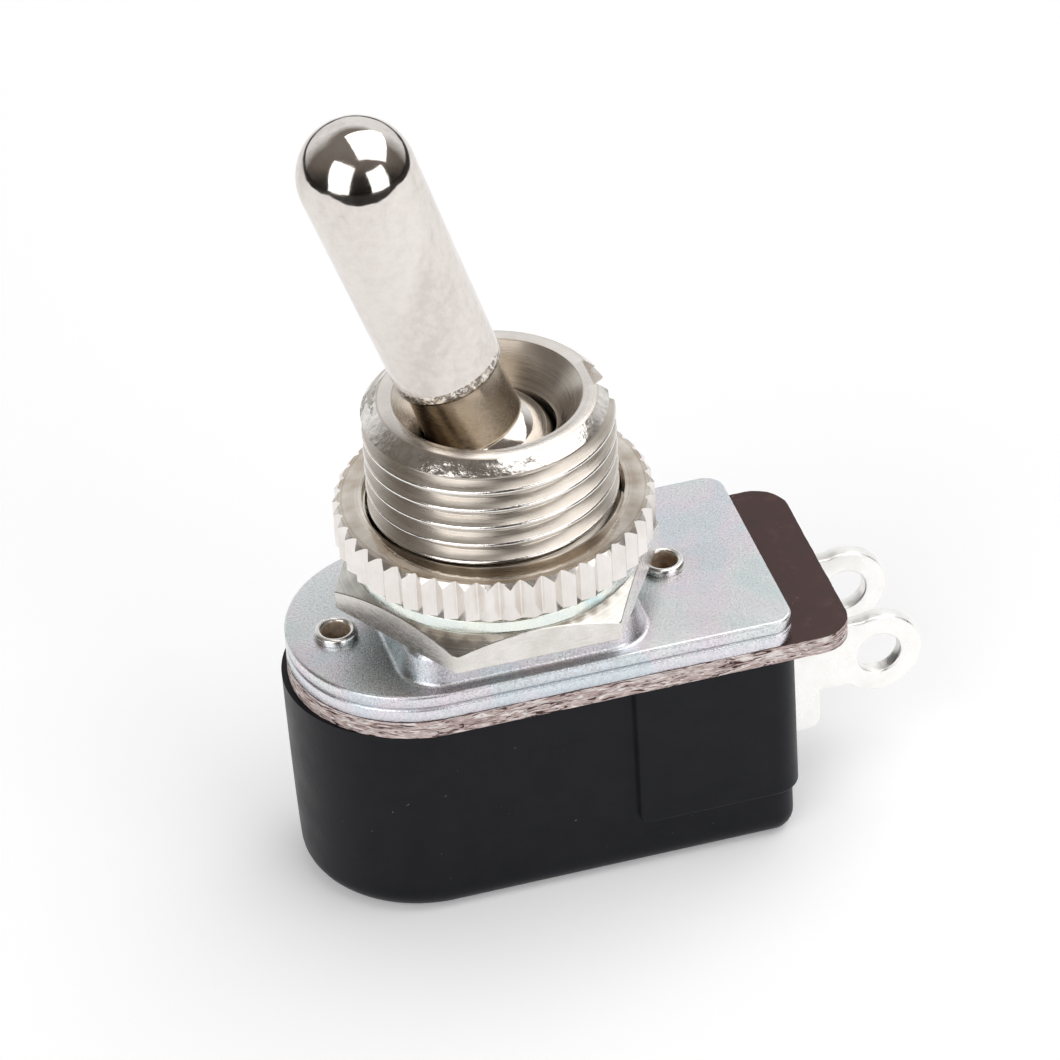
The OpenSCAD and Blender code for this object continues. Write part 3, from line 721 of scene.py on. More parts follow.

# %% [markdown]
# ## The lever's neck and stain
# The neck is brassy, because the plating is thin there; its dark tone is also painted shade, as the
# bushing's mouth shades it. Plating pooled at the chamfer, and it left brown stains that thin out
# up the foot of the handle. So the lever has three finishes, and the height along its own axis tells
# them apart.

# %% Finish the lever


def neck_brass_and_shade():
    """Thin nickel over brass: a brown gold, darkened as painted shade, with rings around the lever's
    own axis.
    """
    tree, wire = blank_finish("neck_brass_and_shade", Metallic=1.0)
    place = on_lever(tree)
    lines = turning_lines(tree, place, 8, 0.1)
    tint = sum_of(tree, (noise(tree, place, 0.8, 3.0), 0.55), (lines, 0.45))
    return wire(
        # Painted shade: the brass tones are kept dark for the shade of the bushing's mouth around the
        # neck.
        Base_Color=tone(tree, tint, (0.35, (0.36, 0.30, 0.225)), (0.7, (0.48, 0.425, 0.36))),
        Roughness=rough_by(tree, lines, 0.12, 0.22),
        Normal=emboss(tree, lines, 0.002, 0.8))


def mottled_nickel():
    """Bright nickel with brown stains where the noise, raised a little with the height along the
    lever, falls in a narrow band."""
    tree, wire = blank_finish("mottled_nickel", Metallic=1.0, Roughness=0.14)
    place = on_lever(tree)
    height = add_node(tree, "SeparateXYZ", {"Vector": place}).outputs[2]
    rise = spread(tree, height, CHAMFER_TOP - 0.1, STAIN_TOP)
    stain = sum_of(tree, (noise(tree, place, 2.4, 4.0, 0.65), 1.0), (rise, 0.17))
    colour = tone(
        tree, stain, (0.40, (0.86, 0.82, 0.77)), (0.50, (0.42, 0.36, 0.30)),
        (0.56, (0.12, 0.10, 0.08)), (0.64, (0.76, 0.72, 0.675)))
    return wire(Base_Color=colour, Normal=emboss(tree, stain, 0.05, 0.8))


def lever_finish(middles):
    """0 on the handle, the dome and the ball, 1 on the neck, 2 on the chamfer and the stained
    foot above it, by the height along the lever's own axis."""
    height = (middles - PIVOT) @ np.array([-math.sin(LEAN), 0, math.cos(LEAN)])
    stained = (height > HANDLE_START - 0.01) & (height < STAIN_TOP)
    neck = (height > NECK_FOOT) & (height < HANDLE_START)
    return np.select([stained, neck], [2, 1], 0)


lever_finishes = [LEVER_NICKEL, neck_brass_and_shade(), mottled_nickel()]
finish_piece(lever, "lever", "bat_lever", lever_finishes, lever_finish)

# %% [markdown]
# ## The bushing's thread
# The bushing is turned first, threaded second and milled last. Here the thread comes first: it is
# a closed strip whose profile climbs by one pitch in a turn, so its rows follow the helix and its
# crests stay crisp. The crests are slightly rounded, as a die leaves them, and catch a thin line of
# light, which their paler finish strengthens as a painted highlight. A ring copied for each turn
# would look the same at a glance, but it wouldn't climb.

# %% Make the thread
CREST_R, ROOT_R, PITCH = 6.0, 5.47, 1.0
CREST_BEND = 0.13
THREAD_PHASE = 0.635
top = bushing_high[2]
shoulder = hex_low[2]


def thread_strip():
    """The helix: z = pitch * (row + angle / turn), with a 60 degree profile whose crest is an arc
    and whose root is flat with two softened corners."""
    bend = np.radians([-60, -38, -18, 0, 18, 38, 60])
    rise = np.concatenate([CREST_BEND * np.sin(bend) / PITCH, [0.39, 0.44, 0.56, 0.61]])
    corner = ROOT_R + np.array([0.03, 0, 0, 0.03])
    radius = np.concatenate([CREST_R - CREST_BEND * (1 - np.cos(bend)), corner])
    start = bushing_low[2] - 2 * PITCH + THREAD_PHASE
    turns = math.ceil((top - start) / PITCH) + 2
    rows_z = (start + np.arange(turns)[:, None] * PITCH + rise * PITCH).ravel()
    angles = np.linspace(0, TURN, 193)
    points = around(np.tile(radius, turns), rows_z[:, None] + PITCH * angles / TURN, angles)
    return lattice("threaded_bushing_turned", points, wrap_columns=False, close_ends=True)


bushing = thread_strip()
print(bushing.name, "has", len(bushing.data.polygons), "faces before it is cut")

# %% [markdown]
# ## The bushing's blank, bore and keyway
# The blank's outline cuts the strip to shape and bevels its end, the bore is cut out of it, and
# the keyway is milled down the side that faces the lugs. The cutters' columns start at odd shares
# of a step, so that no edge of one runs exactly along an edge of another, which a boolean would
# have to guess about.

# %% Cut the bushing
RIM_R, RIM_BEVEL = 5.2, 0.75
MOUTH_R, THROAT_R, MOUTH_DEPTH = 4.5, 3.2, 1.78
SHANK_R, STAKE_R, STAKE_T = 4.2, 4.55, 0.6
SEAT_R, SEAT_FOOT = BALL_R + 0.1, -3.0
KEYWAY_W, KEYWAY_DEPTH = 2.0, 1.05
BLANK_CORE, BLANK_CLEAR, BORE_CORE = 0.5, 0.4, 0.4
EDGE_BREAK, PAST_TOP = 0.05, 1.0


def bushing_blank():
    """The turned blank's outline, from a core round to the core. It stands clear of the thread,
    and the bevel's cone runs on as far out as that."""
    foot, outer = bushing_low[2], CREST_R + BLANK_CLEAR
    cone_foot = top - RIM_BEVEL - RIM_BEVEL * BLANK_CLEAR / (CREST_R - RIM_R)
    profile = np.array([
        [BLANK_CORE, foot], [STAKE_R, foot], [STAKE_R, foot + STAKE_T], [SHANK_R, foot + STAKE_T],
        [SHANK_R, shoulder], [outer, shoulder], [outer, cone_foot],
        [RIM_R + EDGE_BREAK * 0.7, top - EDGE_BREAK], [RIM_R - EDGE_BREAK, top], [BLANK_CORE, top],
    ])
    return lattice("blank", around(*profile.T, even(192, 0.37)), lids=True)


def bushing_bore():
    """What the bore takes out: the cone of the mouth, the throat and the ball's seat."""
    throat_z = top - MOUTH_DEPTH
    seat = arc((0, PIVOT[2]), SEAT_R, 0, math.degrees(math.acos(THROAT_R / SEAT_R)), 12)
    profile = np.vstack([
        [[BORE_CORE, SEAT_FOOT], [SEAT_R, SEAT_FOOT]], seat,
        [[THROAT_R, throat_z], [THROAT_R + 0.04, throat_z + EDGE_BREAK],
         [MOUTH_R - 0.03, top - EDGE_BREAK], [MOUTH_R + 0.05, top + 0.02],
         [MOUTH_R + 0.2, top + PAST_TOP], [BORE_CORE, top + PAST_TOP]],
    ])
    return lattice("bore", around(*profile.T, even(192, 0.71)), lids=True)


def bushing_finish(middles):
    """0 on the thread's flanks, 1 on the tumbled bevel, 2 in the bore, 3 on the rim and 4 on the
    thread's crest, by height and by distance from the axis."""
    away, height = axis_places(middles)
    cone = RIM_R + (top - height) * (CREST_R - RIM_R) / RIM_BEVEL
    bevel = (np.abs(away - cone) < 0.03) & (height > top - RIM_BEVEL - 0.02)
    bore = (away < MOUTH_R + 0.01) & (height < top - 0.02)
    rim = height > top - 0.012
    # The crest faces get the paler finish, a painted highlight.
    crest = away > CREST_R - 0.055
    return np.select([rim, bevel, bore, crest], [3, 1, 2, 4], 0)


carve(bushing, bushing_blank(), "INTERSECT")
carve(bushing, bushing_bore())
carve(bushing, box(
    (CREST_R - KEYWAY_DEPTH, -KEYWAY_W / 2, shoulder), (CREST_R + 1, KEYWAY_W / 2, top + PAST_TOP)))
bushing_finishes = [FLANK_NICKEL, BEVEL_NICKEL, BORE_NICKEL, RIM_NICKEL, CREST_HIGHLIGHT_NICKEL]
finish_piece(
    bushing, "switch_body", "threaded_bushing", bushing_finishes, bushing_finish)

# %% [markdown]
# ## Knurled nut
# The knurls are a triangle wave around the rim. Both edges of the nut are turned conical, and a
# cone meets each ridge in a small three-cornered facet. The rows of the grid follow that meeting
# line: its height is where the cone's radius equals the wave's. The top face isn't flat but falls
# on one wide cone from the bore's ring to the rim, so it mirrors a darker part of the room.

# %% Make the knurled nut
KNURLS, KNURL_DEPTH = 45, 0.38
KNURL_BEVEL, RELIEF_H, RELIEF_W = 0.24, 0.50, 1.05
FACE_DROP, RING_DROP, MOUTH_DROP = 0.17, 0.02, 0.22
RING_W, MOUTH_W = 0.26, 0.16
BORE_R = CREST_R + 0.08
crest_r = knurl_high[1]


def knurl_wave():
    """Angles and radii of the knurls: up a flank, over a fine crest, down a flank and across a
    narrow root, with eleven columns to a knurl."""
    phase = np.array([0, 0.03, 0.16, 0.28, 0.40, 0.485, 0.515, 0.60, 0.72, 0.84, 0.97])
    climb = np.interp(phase, [0, 0.03, 0.485, 0.515, 0.97, 1], [0, 0, 1, 1, 0, 0])
    angles = ((np.arange(KNURLS)[:, None] + phase) * TURN / KNURLS).ravel()
    return angles, np.tile(crest_r - KNURL_DEPTH * (1 - climb), KNURLS)


def make_knurled_nut():
    """Rows from the bore's foot, out and up over both cones, and back into the bore. The top
    face falls a little towards its edge, as a face turned with a hand-held tool does."""
    angles, ridge = knurl_wave()
    foot, head = knurl_low[2], knurl_high[2]
    shoulder_r, ring_r = crest_r - KNURL_BEVEL, BORE_R + RING_W
    face_r = np.minimum(ridge, shoulder_r)
    slope = (FACE_DROP - RING_DROP) / (shoulder_r - ring_r)
    edge = head - RING_DROP - (face_r - ring_r) * slope
    return ring("knurled_nut_turned", [
        (BORE_R, foot),
        (crest_r - RELIEF_W, foot),
        (ridge, foot + (ridge - crest_r + RELIEF_W) * RELIEF_H / RELIEF_W),
        (ridge, edge - np.maximum(ridge - shoulder_r, 0)),
        (face_r, edge),
        (ring_r, head - RING_DROP),
        (BORE_R + MOUTH_W, head - 2 * RING_DROP),
        (BORE_R, head - MOUTH_DROP),
    ], angles, crease=24)


def nut_finish(middles):
    """0 on the turned faces, 1 on the flanks of the knurls."""
    away, height = axis_places(middles)
    flank = away > crest_r - KNURL_DEPTH - 0.06
    return flank & (height < knurl_high[2] - FACE_DROP - 0.01) & (height > knurl_low[2] + 0.3)


finish_piece(
    make_knurled_nut(), "panel_nut", "knurled_nut", [NUT_NICKEL, KNURL_NICKEL], nut_finish)

# %% [markdown]
# ## Lock washer
# The washer is a thin stamped ring with teeth inside. Twelve small cutters could notch a plain
# ring, but here its bore is a radius that steps between tooth and gap, so the ring is one mesh from
# the start. It is zinc plated rather than nickelled: paler and duller than the nuts around it, under
# a film that turns from green to rosy.

# %% Make the lock washer
WASHER_R, WASHER_EDGE = washer_high[1] + 0.06, 0.06
WASHER_TEETH, TOOTH = 12, 0.45


def make_washer():
    """A ring whose bore steps between tooth and gap, with a rounded outer edge."""
    phase = np.array([0, 0.02, 0.24, 0.48, 0.5, 0.52, 0.76, 0.98])
    angles = ((np.arange(WASHER_TEETH)[:, None] + phase) * TURN / WASHER_TEETH).ravel()
    bore = np.tile(np.where(phase > 0.49, BORE_R, BORE_R + TOOTH), WASHER_TEETH)
    low, high, middle = washer_low[2], washer_high[2], WASHER_R - WASHER_EDGE
    lower = arc((middle, low + WASHER_EDGE), WASHER_EDGE, -90, 0, 5)
    upper = arc((middle, high - WASHER_EDGE), WASHER_EDGE, 0, 90, 5)
    return ring("lock_washer_stamped", [(bore, low), *lower, *upper, (bore, high)], angles)


def washer_zinc():
    """Zinc with a green passivation that turns rosy here and there."""
    tree, wire = blank_finish("washer_zinc", Metallic=1.0)
    place = in_mm(tree)
    colour = tone(
        tree, noise(tree, place, 0.35, 2.0), (0.32, (0.66, 0.83, 0.84)),
        (0.47, (0.88, 0.92, 0.84)), (0.62, (0.82, 0.88, 0.84)))
    return wire(
        Base_Color=colour,
        Roughness=rough_by(tree, noise(tree, place, 4.0, 3.0), 0.18, 0.34),
        Normal=emboss(tree, noise(tree, place, 12.0, 3.0), 0.003, 0.6))


finish_piece(make_washer(), "washer", "lock_washer", [washer_zinc()])

# %% [markdown]
# ## Hexagon nut
# The hexagon nut is milled from bar. It follows the same idea as the knurled one: the flats are a
# radius that changes with the angle, r = half the width across flats divided by the cosine of the
# angle from the flat's middle, and the chamfer's cone meets them in six shallow arcs. A boolean
# could cut the flats as well, but it would leave long thin faces along those arcs.

# %% Make the hexagon nut
HEX_HALF, HEX_FACE_R, HEX_CHAMFER = 7.0, 6.8, 0.75
HEX_CORNER_R = HEX_HALF / math.cos(math.pi / 6)
HEX_CORNER_WEAR, HEX_FOOT_EDGE, HEX_HEAD_EDGE = 0.035, 0.05, 0.03


def make_hex_nut():
    """Rows from the bore's foot, out to the flats, up to the chamfer and back to the bore. side
    holds the columns of one flat in degrees, close together at its corners."""
    side = np.concatenate([[0, 0.35, 0.8, 1.6], np.linspace(4, 56, 27), [58.4, 59.2, 59.65]])
    angles = np.radians((np.arange(6)[:, None] * 60 + side).ravel())
    away = np.radians(np.tile(side, 6) - 30)
    flats = np.minimum(HEX_HALF / np.cos(away), HEX_CORNER_R - HEX_CORNER_WEAR)
    slope = HEX_CHAMFER / (HEX_CORNER_R - HEX_FACE_R)
    low, high = hex_low[2], hex_high[2]
    broken = flats - HEX_HEAD_EDGE
    return ring("hex_nut_milled", [
        (BORE_R, low),
        (flats - HEX_FOOT_EDGE, low),
        (flats, low + HEX_FOOT_EDGE),
        (flats, high - (flats - HEX_FACE_R) * slope - HEX_HEAD_EDGE),
        (broken, high - (broken - HEX_FACE_R) * slope),
        (HEX_FACE_R, high),
        (BORE_R, high),
    ], angles, crease=18)


def hex_finish(middles):
    """0 on the chamfer and both faces, 1 on the flats: there the largest of the distances to the
    three middle planes is half the width."""
    sides = [np.abs(middles[:, :2] @ [math.sin(a), math.cos(a)]) for a in (0, TURN / 6, TURN / 3)]
    return np.abs(np.max(sides, axis=0) - HEX_HALF) < 0.02


finish_piece(
    make_hex_nut(), "switch_body", "hex_nut", [CHAMFER_NICKEL, HEX_NICKEL], hex_finish)

# %% [markdown]
# ## One outline for plates, board and case
# The plates, the board and the case share one kind of outline: half round at one end, with two
# rounded corners at the other. It is a chain of circles: between two of them the centre, the
# radius and the angle change evenly, which gives straight sides for free. Moving every point in
# along its own radius gives the same outline further in, so rows of a surface line up.

# %% Helpers for outlines


def spaced(*steps):
    """Marks along the outline's six stretches, each cut into its number of even steps."""
    return np.concatenate([i + np.arange(n) / n for i, n in enumerate(steps)])


def outline(size, marks, inset=0.0):
    """Points (x, y) of the outline: centre + (radius - inset) * (cos, sin), where centre, radius
    and angle are interpolated along marks. size is (left, right, width, corner); marks run from 0
    at the start of the round end to 6, one for each stretch."""
    left, right, width, corner = size
    half = width / 2
    knots = np.array([
        [half - left, 0, half, 90], [half - left, 0, half, 270],
        [right - corner, corner - half, corner, 270], [right - corner, corner - half, corner, 360],
        [right - corner, half - corner, corner, 360], [right - corner, half - corner, corner, 450],
        [half - left, 0, half, 450],
    ], float)
    x, y, radius, angle = (np.interp(marks, np.arange(7), knots[:, i]) for i in range(4))
    angle = np.radians(angle)
    return np.stack([x + (radius - inset) * np.cos(angle), y + (radius - inset) * np.sin(angle)], -1)


def size_of(low, high, corner):
    """The outline's size from the corners of a piece's box and the radius of its corners."""
    return -low[0], high[0], high[1] - low[1], corner


def raised(flat, height):
    """Points (x, y, z) from a grid of (x, y), with a height for each row or for each point."""
    return np.concatenate([flat, np.broadcast_to(height, flat.shape[:2])[..., None]], -1)


def slot_cutter(half_width, half_length, low, high):
    """A long hole with round ends, as the lever's rod sweeps it, from one height to another."""
    end = half_length - half_width
    right_end = arc((end, 0), half_width, -90, 90, 24)
    left_end = arc((-end, 0), half_width, 90, 270, 24)
    ends = np.vstack([right_end, left_end])
    return lattice("slot", raised(np.stack([ends, ends]), [[low], [high]]), lids=True)


print("outline helpers ready")

# %% [markdown]
# ## Upper plate
# The upper plate is pressed from one zinc-plated sheet, with a raised boss that carries the
# bushing. A press leaves no sharp corner: the boss rises from a small fillet, its side leans in a
# little, and its top edge rolls over; the sheet's own rim is rolled down at the edge. Each row is
# an outline read by its angle around the bushing, so the plate's outline and the boss's outline
# meet on the same columns.

# %% Draw the boss
BOSS_LEN, BOSS_W, BOSS_CORNER, BOSS_H = 12.0, 11.3, 2.0, 1.6
BOSS_LEAN, BOSS_FILLET, BOSS_ROLL = 0.22, 0.28, 0.5


def boss_outline(inset):
    """The boss's rounded rectangle, moved in by inset: four quarter circles joined by sides, with
    about 40 points to each of their steps, so that it can be read at any angle."""
    x, y = BOSS_LEN / 2 - BOSS_CORNER, BOSS_W / 2 - BOSS_CORNER
    quarters = [
        arc(centre, BOSS_CORNER - inset, start, start + 90, 16)
        for centre, start in (((x, y), 0), ((-x, y), 90), ((-x, -y), 180), ((x, -y), 270))
    ]
    corners = np.vstack(quarters + [quarters[0][:1]])
    run = np.arange(len(corners))
    fine = np.linspace(0, len(corners) - 1, 40 * len(corners))
    return np.stack([np.interp(fine, run, corners[:, i]) for i in range(2)], -1)


def boss_profile():
    """Inset and height up the boss: a hollow quarter at the foot, a leaning side, a rolled top."""
    foot = arc((-BOSS_FILLET, BOSS_FILLET), BOSS_FILLET, -90, -8, 7)
    roll = arc((BOSS_LEAN + BOSS_ROLL, BOSS_H - BOSS_ROLL), BOSS_ROLL, 172, 90, 9)
    return np.vstack([foot, roll])


def polar(points, angles):
    """The distance of a closed outline from the origin at each angle. The outline is read as
    distance against angle, sorted and repeated once on each side so that it wraps."""
    bearing = np.arctan2(points[:, 1], points[:, 0]) % TURN
    order = np.argsort(bearing)
    bearing, distance = bearing[order], np.hypot(*points[order].T)
    bearing = np.concatenate([bearing - TURN, bearing, bearing + TURN])
    return np.interp(angles, bearing, np.tile(distance, 3))


print("boss rises", BOSS_H, "mm in", len(boss_profile()), "rows")

# %% [markdown]
# The plate is one closed ring around the bushing's hole: its rows run along the underside, up the
# rolled rim, over the sheet and up the boss. The holes for the eyelets are drilled afterwards, as
# they would be pierced after pressing. The lower plate and the board get theirs the same way.

# %% Make the upper plate
PLATE_T, PLATE_CORNER, PLATE_ROLL, PLATE_CREASE = 0.73, 1.0, 0.15, 50
EYELET_X, EYELET_R = 8.15, 0.85
HOLE_GAP, HOLE_EDGE = 0.02, 0.06
CEILING = BOSS_H - PLATE_T
# Inset and height along the underside: first under the boss, on the boss's outline, and then
# under the sheet, on the plate's outline.
HOLLOW = ((1.55, CEILING), (0.95, CEILING - 0.2), (0.75, 0.1 - PLATE_T), (0.55, -PLATE_T))
UNDERSIDE = ((0.22, -PLATE_T), (0.06, 0.05 - PLATE_T), (0.0, 0.14 - PLATE_T))


def drill_eyelet_holes(piece, low, high, crease):
    """The two holes that the eyelets pass through, left one first."""
    for side in (-1, 1):
        carve(piece, rod(side * EYELET_X, EYELET_R + HOLE_GAP, low, high), crease=crease)


def make_upper_plate():
    """Rows: the underside from the hole outwards, up the rim, over the plate and the boss."""
    angles = even(720)
    size, marks = size_of(upper_low, upper_high, PLATE_CORNER), spaced(512, 320, 80, 240, 80, 320)
    hole = SHANK_R + HOLE_GAP
    rim = rolled_edge(PLATE_ROLL, 0, [0, 22, 45, 68, 90])
    return ring("upper_plate_pressed", [
        (hole, CEILING),
        *[(polar(boss_outline(inset), angles), z) for inset, z in HOLLOW],
        *[(polar(outline(size, marks, inset), angles), z) for inset, z in [*UNDERSIDE, *rim]],
        *[(polar(boss_outline(inset), angles), z) for inset, z in boss_profile()],
        (hole + HOLE_EDGE, BOSS_H),
        (hole, BOSS_H - HOLE_EDGE),
    ], angles, crease=PLATE_CREASE)


upper_plate = make_upper_plate()
drill_eyelet_holes(upper_plate, -2, 1, PLATE_CREASE)

# %% [markdown]
# ## Zinc plating
# Zinc plate is satin grey metal under a film so thin that it shows colours, like oil on water:
# blue, rose and green run into each other over a few millimetres. Slow noise through a ramp of five
# close colours gives that drift, and fine noise darkens the pits of the grain. The lower plate's
# edge is paler than the upper plate's face, so it gets its own dark tone.

# %% Finish the upper plate


def zinc_plating(name, dark=(0.54, 0.55, 0.57)):
    """Satin zinc under a thin passivation that shifts through blue, rose and green."""
    tree, wire = blank_finish(name, Metallic=1.0)
    place = in_mm(tree)
    film = noise(tree, place, 0.22, 2.0, 0.45, 0.5)
    tint = tone(
        tree, film, (0.30, (0.68, 0.77, 0.78)), (0.42, (0.73, 0.78, 0.84)),
        (0.50, (0.84, 0.77, 0.83)), (0.58, (0.80, 0.82, 0.83)), (0.70, (0.70, 0.79, 0.79)))
    grain = noise(tree, place, 10.0, 4.0, 0.7)
    grainy = emboss(tree, grain, 0.020, 0.8)
    return wire(
        Base_Color=blend_colours(tree, spread(tree, grain, 0.36, 0.56), dark, tint),
        Roughness=rough_by(tree, grain, 0.32, 0.18),
        Normal=emboss(tree, noise(tree, place, 1.2, 2.0), 0.02, 0.3, grainy))


finish_piece(
    upper_plate, "switch_body", "upper_plate", [zinc_plating("upper_zinc")])

# %% [markdown]
# ## Lower plate
# The lower plate is blanked from the same sheet and stays flat. A punch rolls the edge on the side
# where it enters and leaves a nearly sharp edge where it comes out. A curve with a thickness and a
# bevel would round both edges alike, so the outline is stacked in rows instead. A slot in its
# middle lets the lever's rod swing.

# %% Make the lower plate
SWING_HALF_W = 1.35
LOWER_SWING, BOARD_SWING = 4.24, 4.96
LOWER_ROLL, FOOT_IN, FOOT_UP = 0.16, 0.03, 0.04


def make_lower_plate():
    """Rows of one outline: rolled at the top of the edge, nearly sharp at the foot."""
    size, marks = size_of(lower_low, lower_high, PLATE_CORNER), spaced(96, 60, 14, 30, 14, 60)
    low, high = lower_low[2], lower_high[2]
    rolled = rolled_edge(LOWER_ROLL, high, np.linspace(0, 90, 6))
    edge = np.vstack([[[FOOT_IN, low], [0.0, low + FOOT_UP]], rolled])
    flat = np.stack([outline(size, marks, inset) for inset in edge[:, 0]])
    points = raised(flat, edge[:, 1:])
    return lattice("lower_plate_blanked", points, lids=True, crease=PLATE_CREASE)


lower_plate = make_lower_plate()
swing_slot = slot_cutter(SWING_HALF_W, LOWER_SWING, lower_low[2] - 1, 0.1)
carve(lower_plate, swing_slot, crease=PLATE_CREASE)
drill_eyelet_holes(lower_plate, -3, 0.5, PLATE_CREASE)
lower_zinc = zinc_plating("lower_zinc", (0.58, 0.63, 0.67))
finish_piece(lower_plate, "switch_body", "lower_plate", [lower_zinc])

# %% [markdown]
# ## Fibre board
# The insulating board is a sheet of pressed fibre. Its faces are smooth and dark, but a punch
# tears its edge into layers of pale strands. The edge rows are pushed in and out by seeded random
# values, long along the edge and thin across it, so that the layers are real relief. A bump alone
# would leave the board's outline ruler straight.

# %% Make the fibre board
BOARD_CORNER, BOARD_INSET, BOARD_SKIN, BOARD_CREASE = 1.8, 0.07, 0.005, 42


def strands(seed, rows, columns, grain_rows, grain_columns):
    """Values from -1 to 1 that wander: a coarse random table, stretched to rows by columns with a
    straight blend between neighbours. Columns wrap round."""
    table = np.random.default_rng(seed).uniform(-1, 1, (grain_rows, grain_columns))
    table = np.hstack([table, table[:, :1]])
    across = np.linspace(0, grain_columns, columns, endpoint=False)
    down = np.linspace(0, grain_rows - 1, rows)
    wide = np.stack([np.interp(across, np.arange(grain_columns + 1), line) for line in table])
    first = np.floor(down).astype(int)
    share = (down - first)[:, None]
    return wide[first] * (1 - share) + wide[np.minimum(first + 1, grain_rows - 1)] * share


def make_board():
    """Rows down the torn edge between two flat faces. The relief is a sum of three weaves of
    strands and grows away from the faces, and the rows wander up and down a little as well."""
    size, marks = size_of(board_low, board_high, BOARD_CORNER), spaced(300, 300, 60, 120, 60, 300)
    rows, columns = 15, len(marks)
    middle = np.sin(np.linspace(0, math.pi, rows))[:, None] ** 0.5
    relief = 0.035 * strands(3, rows, columns, 7, 130) + 0.022 * strands(4, rows, columns, 15, 420)
    relief += 0.03 * strands(5, rows, columns, 2, 60)
    inset = np.maximum(BOARD_INSET - relief * (0.35 + 0.65 * middle), 0.0)
    z = np.linspace(board_low[2], board_high[2], rows)[:, None] + np.zeros((1, columns))
    z[1:-1] += 0.03 * strands(6, rows - 2, columns, 5, 90)
    flat = np.stack([outline(size, marks, row) for row in inset])
    return lattice("fibre_board_punched", raised(flat, z), lids=True, crease=BOARD_CREASE)


board = make_board()
swing_slot = slot_cutter(SWING_HALF_W, BOARD_SWING, board_low[2] - 1, board_high[2] + 1)
carve(board, swing_slot, crease=BOARD_CREASE)
drill_eyelet_holes(board, -4, 0, BOARD_CREASE)

# %% [markdown]
# ## The board's face and torn edge
# The face is pressed smooth: brown grey, with pale specks and a hair here and there. The torn edge
# is all strands, pink and white, with painted shade in the dark cracks between them, where the
# bump of the same noise is lowest. Noise makes both kinds of mark: cut off near its highest or
# lowest values, it leaves only separate hairs and threads on a plain ground.

# %% Finish the fibre board


def board_face():
    """Dark hard fibre: brown grey with pale specks, hairs and fine scratches."""
    tree, wire = blank_finish("board_face", Specular_IOR_Level=0.35)
    place = in_mm(tree)
    cloud = noise(tree, place, 1.2, 5.0, 0.65)
    ground = tone(
        tree, cloud, (0.3, (0.042, 0.018, 0.016)), (0.6, (0.060, 0.028, 0.026)),
        (0.8, (0.09, 0.05, 0.048)))
    hair = noise(tree, in_mm(tree, (1.0, 0.14, 1.0), (0, 0, 0.7)), 7.0, 2.0, 0.5, 1.2)
    return wire(
        Base_Color=blend_colours(tree, spread(tree, hair, 0.74, 0.80), ground, (0.30, 0.25, 0.23)),
        Roughness=rough_by(tree, cloud, 0.5, 0.66),
        Normal=emboss(tree, noise(tree, place, 8.0, 4.0, 0.6), 0.012, 0.6))


def board_edge():
    """Torn fibre: pinkish strands that lie flat, some white, with painted shade in the dark cracks
    between them.
    """
    tree, wire = blank_finish("board_edge", Specular_IOR_Level=0.2, Roughness=0.8)
    cloud = noise(tree, in_mm(tree, (0.5, 0.5, 2.4)), 1.5, 4.0, 0.65, 1.5)
    ground = tone(
        tree, cloud, (0.32, (0.34, 0.24, 0.22)), (0.46, (0.52, 0.40, 0.38)),
        (0.58, (0.68, 0.57, 0.55)), (0.70, (0.84, 0.77, 0.75)))
    thread = noise(tree, in_mm(tree, (0.5, 0.5, 3.2)), 1.8, 2.0, 0.5, 1.8)
    pale = blend_colours(tree, spread(tree, thread, 0.56, 0.60), ground, (0.90, 0.85, 0.83))
    # Painted shade: the edge turns dark where the thread noise, and so the bump, is lowest, in the
    # cracks between strands.
    crack_shade_share = spread(tree, thread, 0.405, 0.37)
    return wire(
        Base_Color=blend_colours(tree, crack_shade_share, pale, (0.07, 0.035, 0.035)),
        Normal=emboss(tree, thread, 0.16, 0.9))


def board_finish(middles):
    """0 on the two faces, 1 on the torn edge and in the holes between them."""
    height = middles[:, 2]
    return (height > board_low[2] + BOARD_SKIN) & (height < board_high[2] - BOARD_SKIN)


finish_piece(
    board, "switch_body", "insulating_board", [board_face(), board_edge()],
    board_finish)

# %% [markdown]
# ## Case
# The case is moulded in black phenolic resin. Its long outline is drawn once and carried down from
# the board to a rounded bottom edge. Two features stand out from it: the left end flares, most of
# all low down and then ever more slowly up to the board, and a raised panel goes round the right
# end. Both are an outward shift of the same surface, so they blend as a moulding does, while
# blocks joined to a plain body would leave hard seams.

# %% Lay out the case's rows and columns
CASE_SIZE = (10.37, 12.75, 11.8, 1.15)
CASE_EDGE, CASE_CREASE = 1.1, 38
PANEL_OUT, PANEL_X, PANEL_CORNER = 0.3, 4.7, 0.7
PANEL_FOOT = board_low[2] - 8.05
PANEL_START, PANEL_BLEND = -0.10, 0.22
CLOSE_BEFORE, CLOSE_AFTER = 0.32, 0.75
FLARE_OUT = 0.45


def case_marks():
    """Columns along the outline, close together where the panel begins on each long side."""
    left, right, width, corner = CASE_SIZE
    start, end = width / 2 - left, right - corner
    close = PANEL_X + np.linspace(-CLOSE_BEFORE, CLOSE_AFTER, 24)
    near = np.sort(np.concatenate([np.linspace(start, end, 26)[:-1], close]))
    along = (near - start) / (end - start)
    turn = np.arange(12) / 12
    return np.concatenate([
        np.arange(72) / 72, 1 + along, 2 + turn, 3 + np.arange(20) / 20, 4 + turn,
        5 + (1 - along[::-1]),
    ])


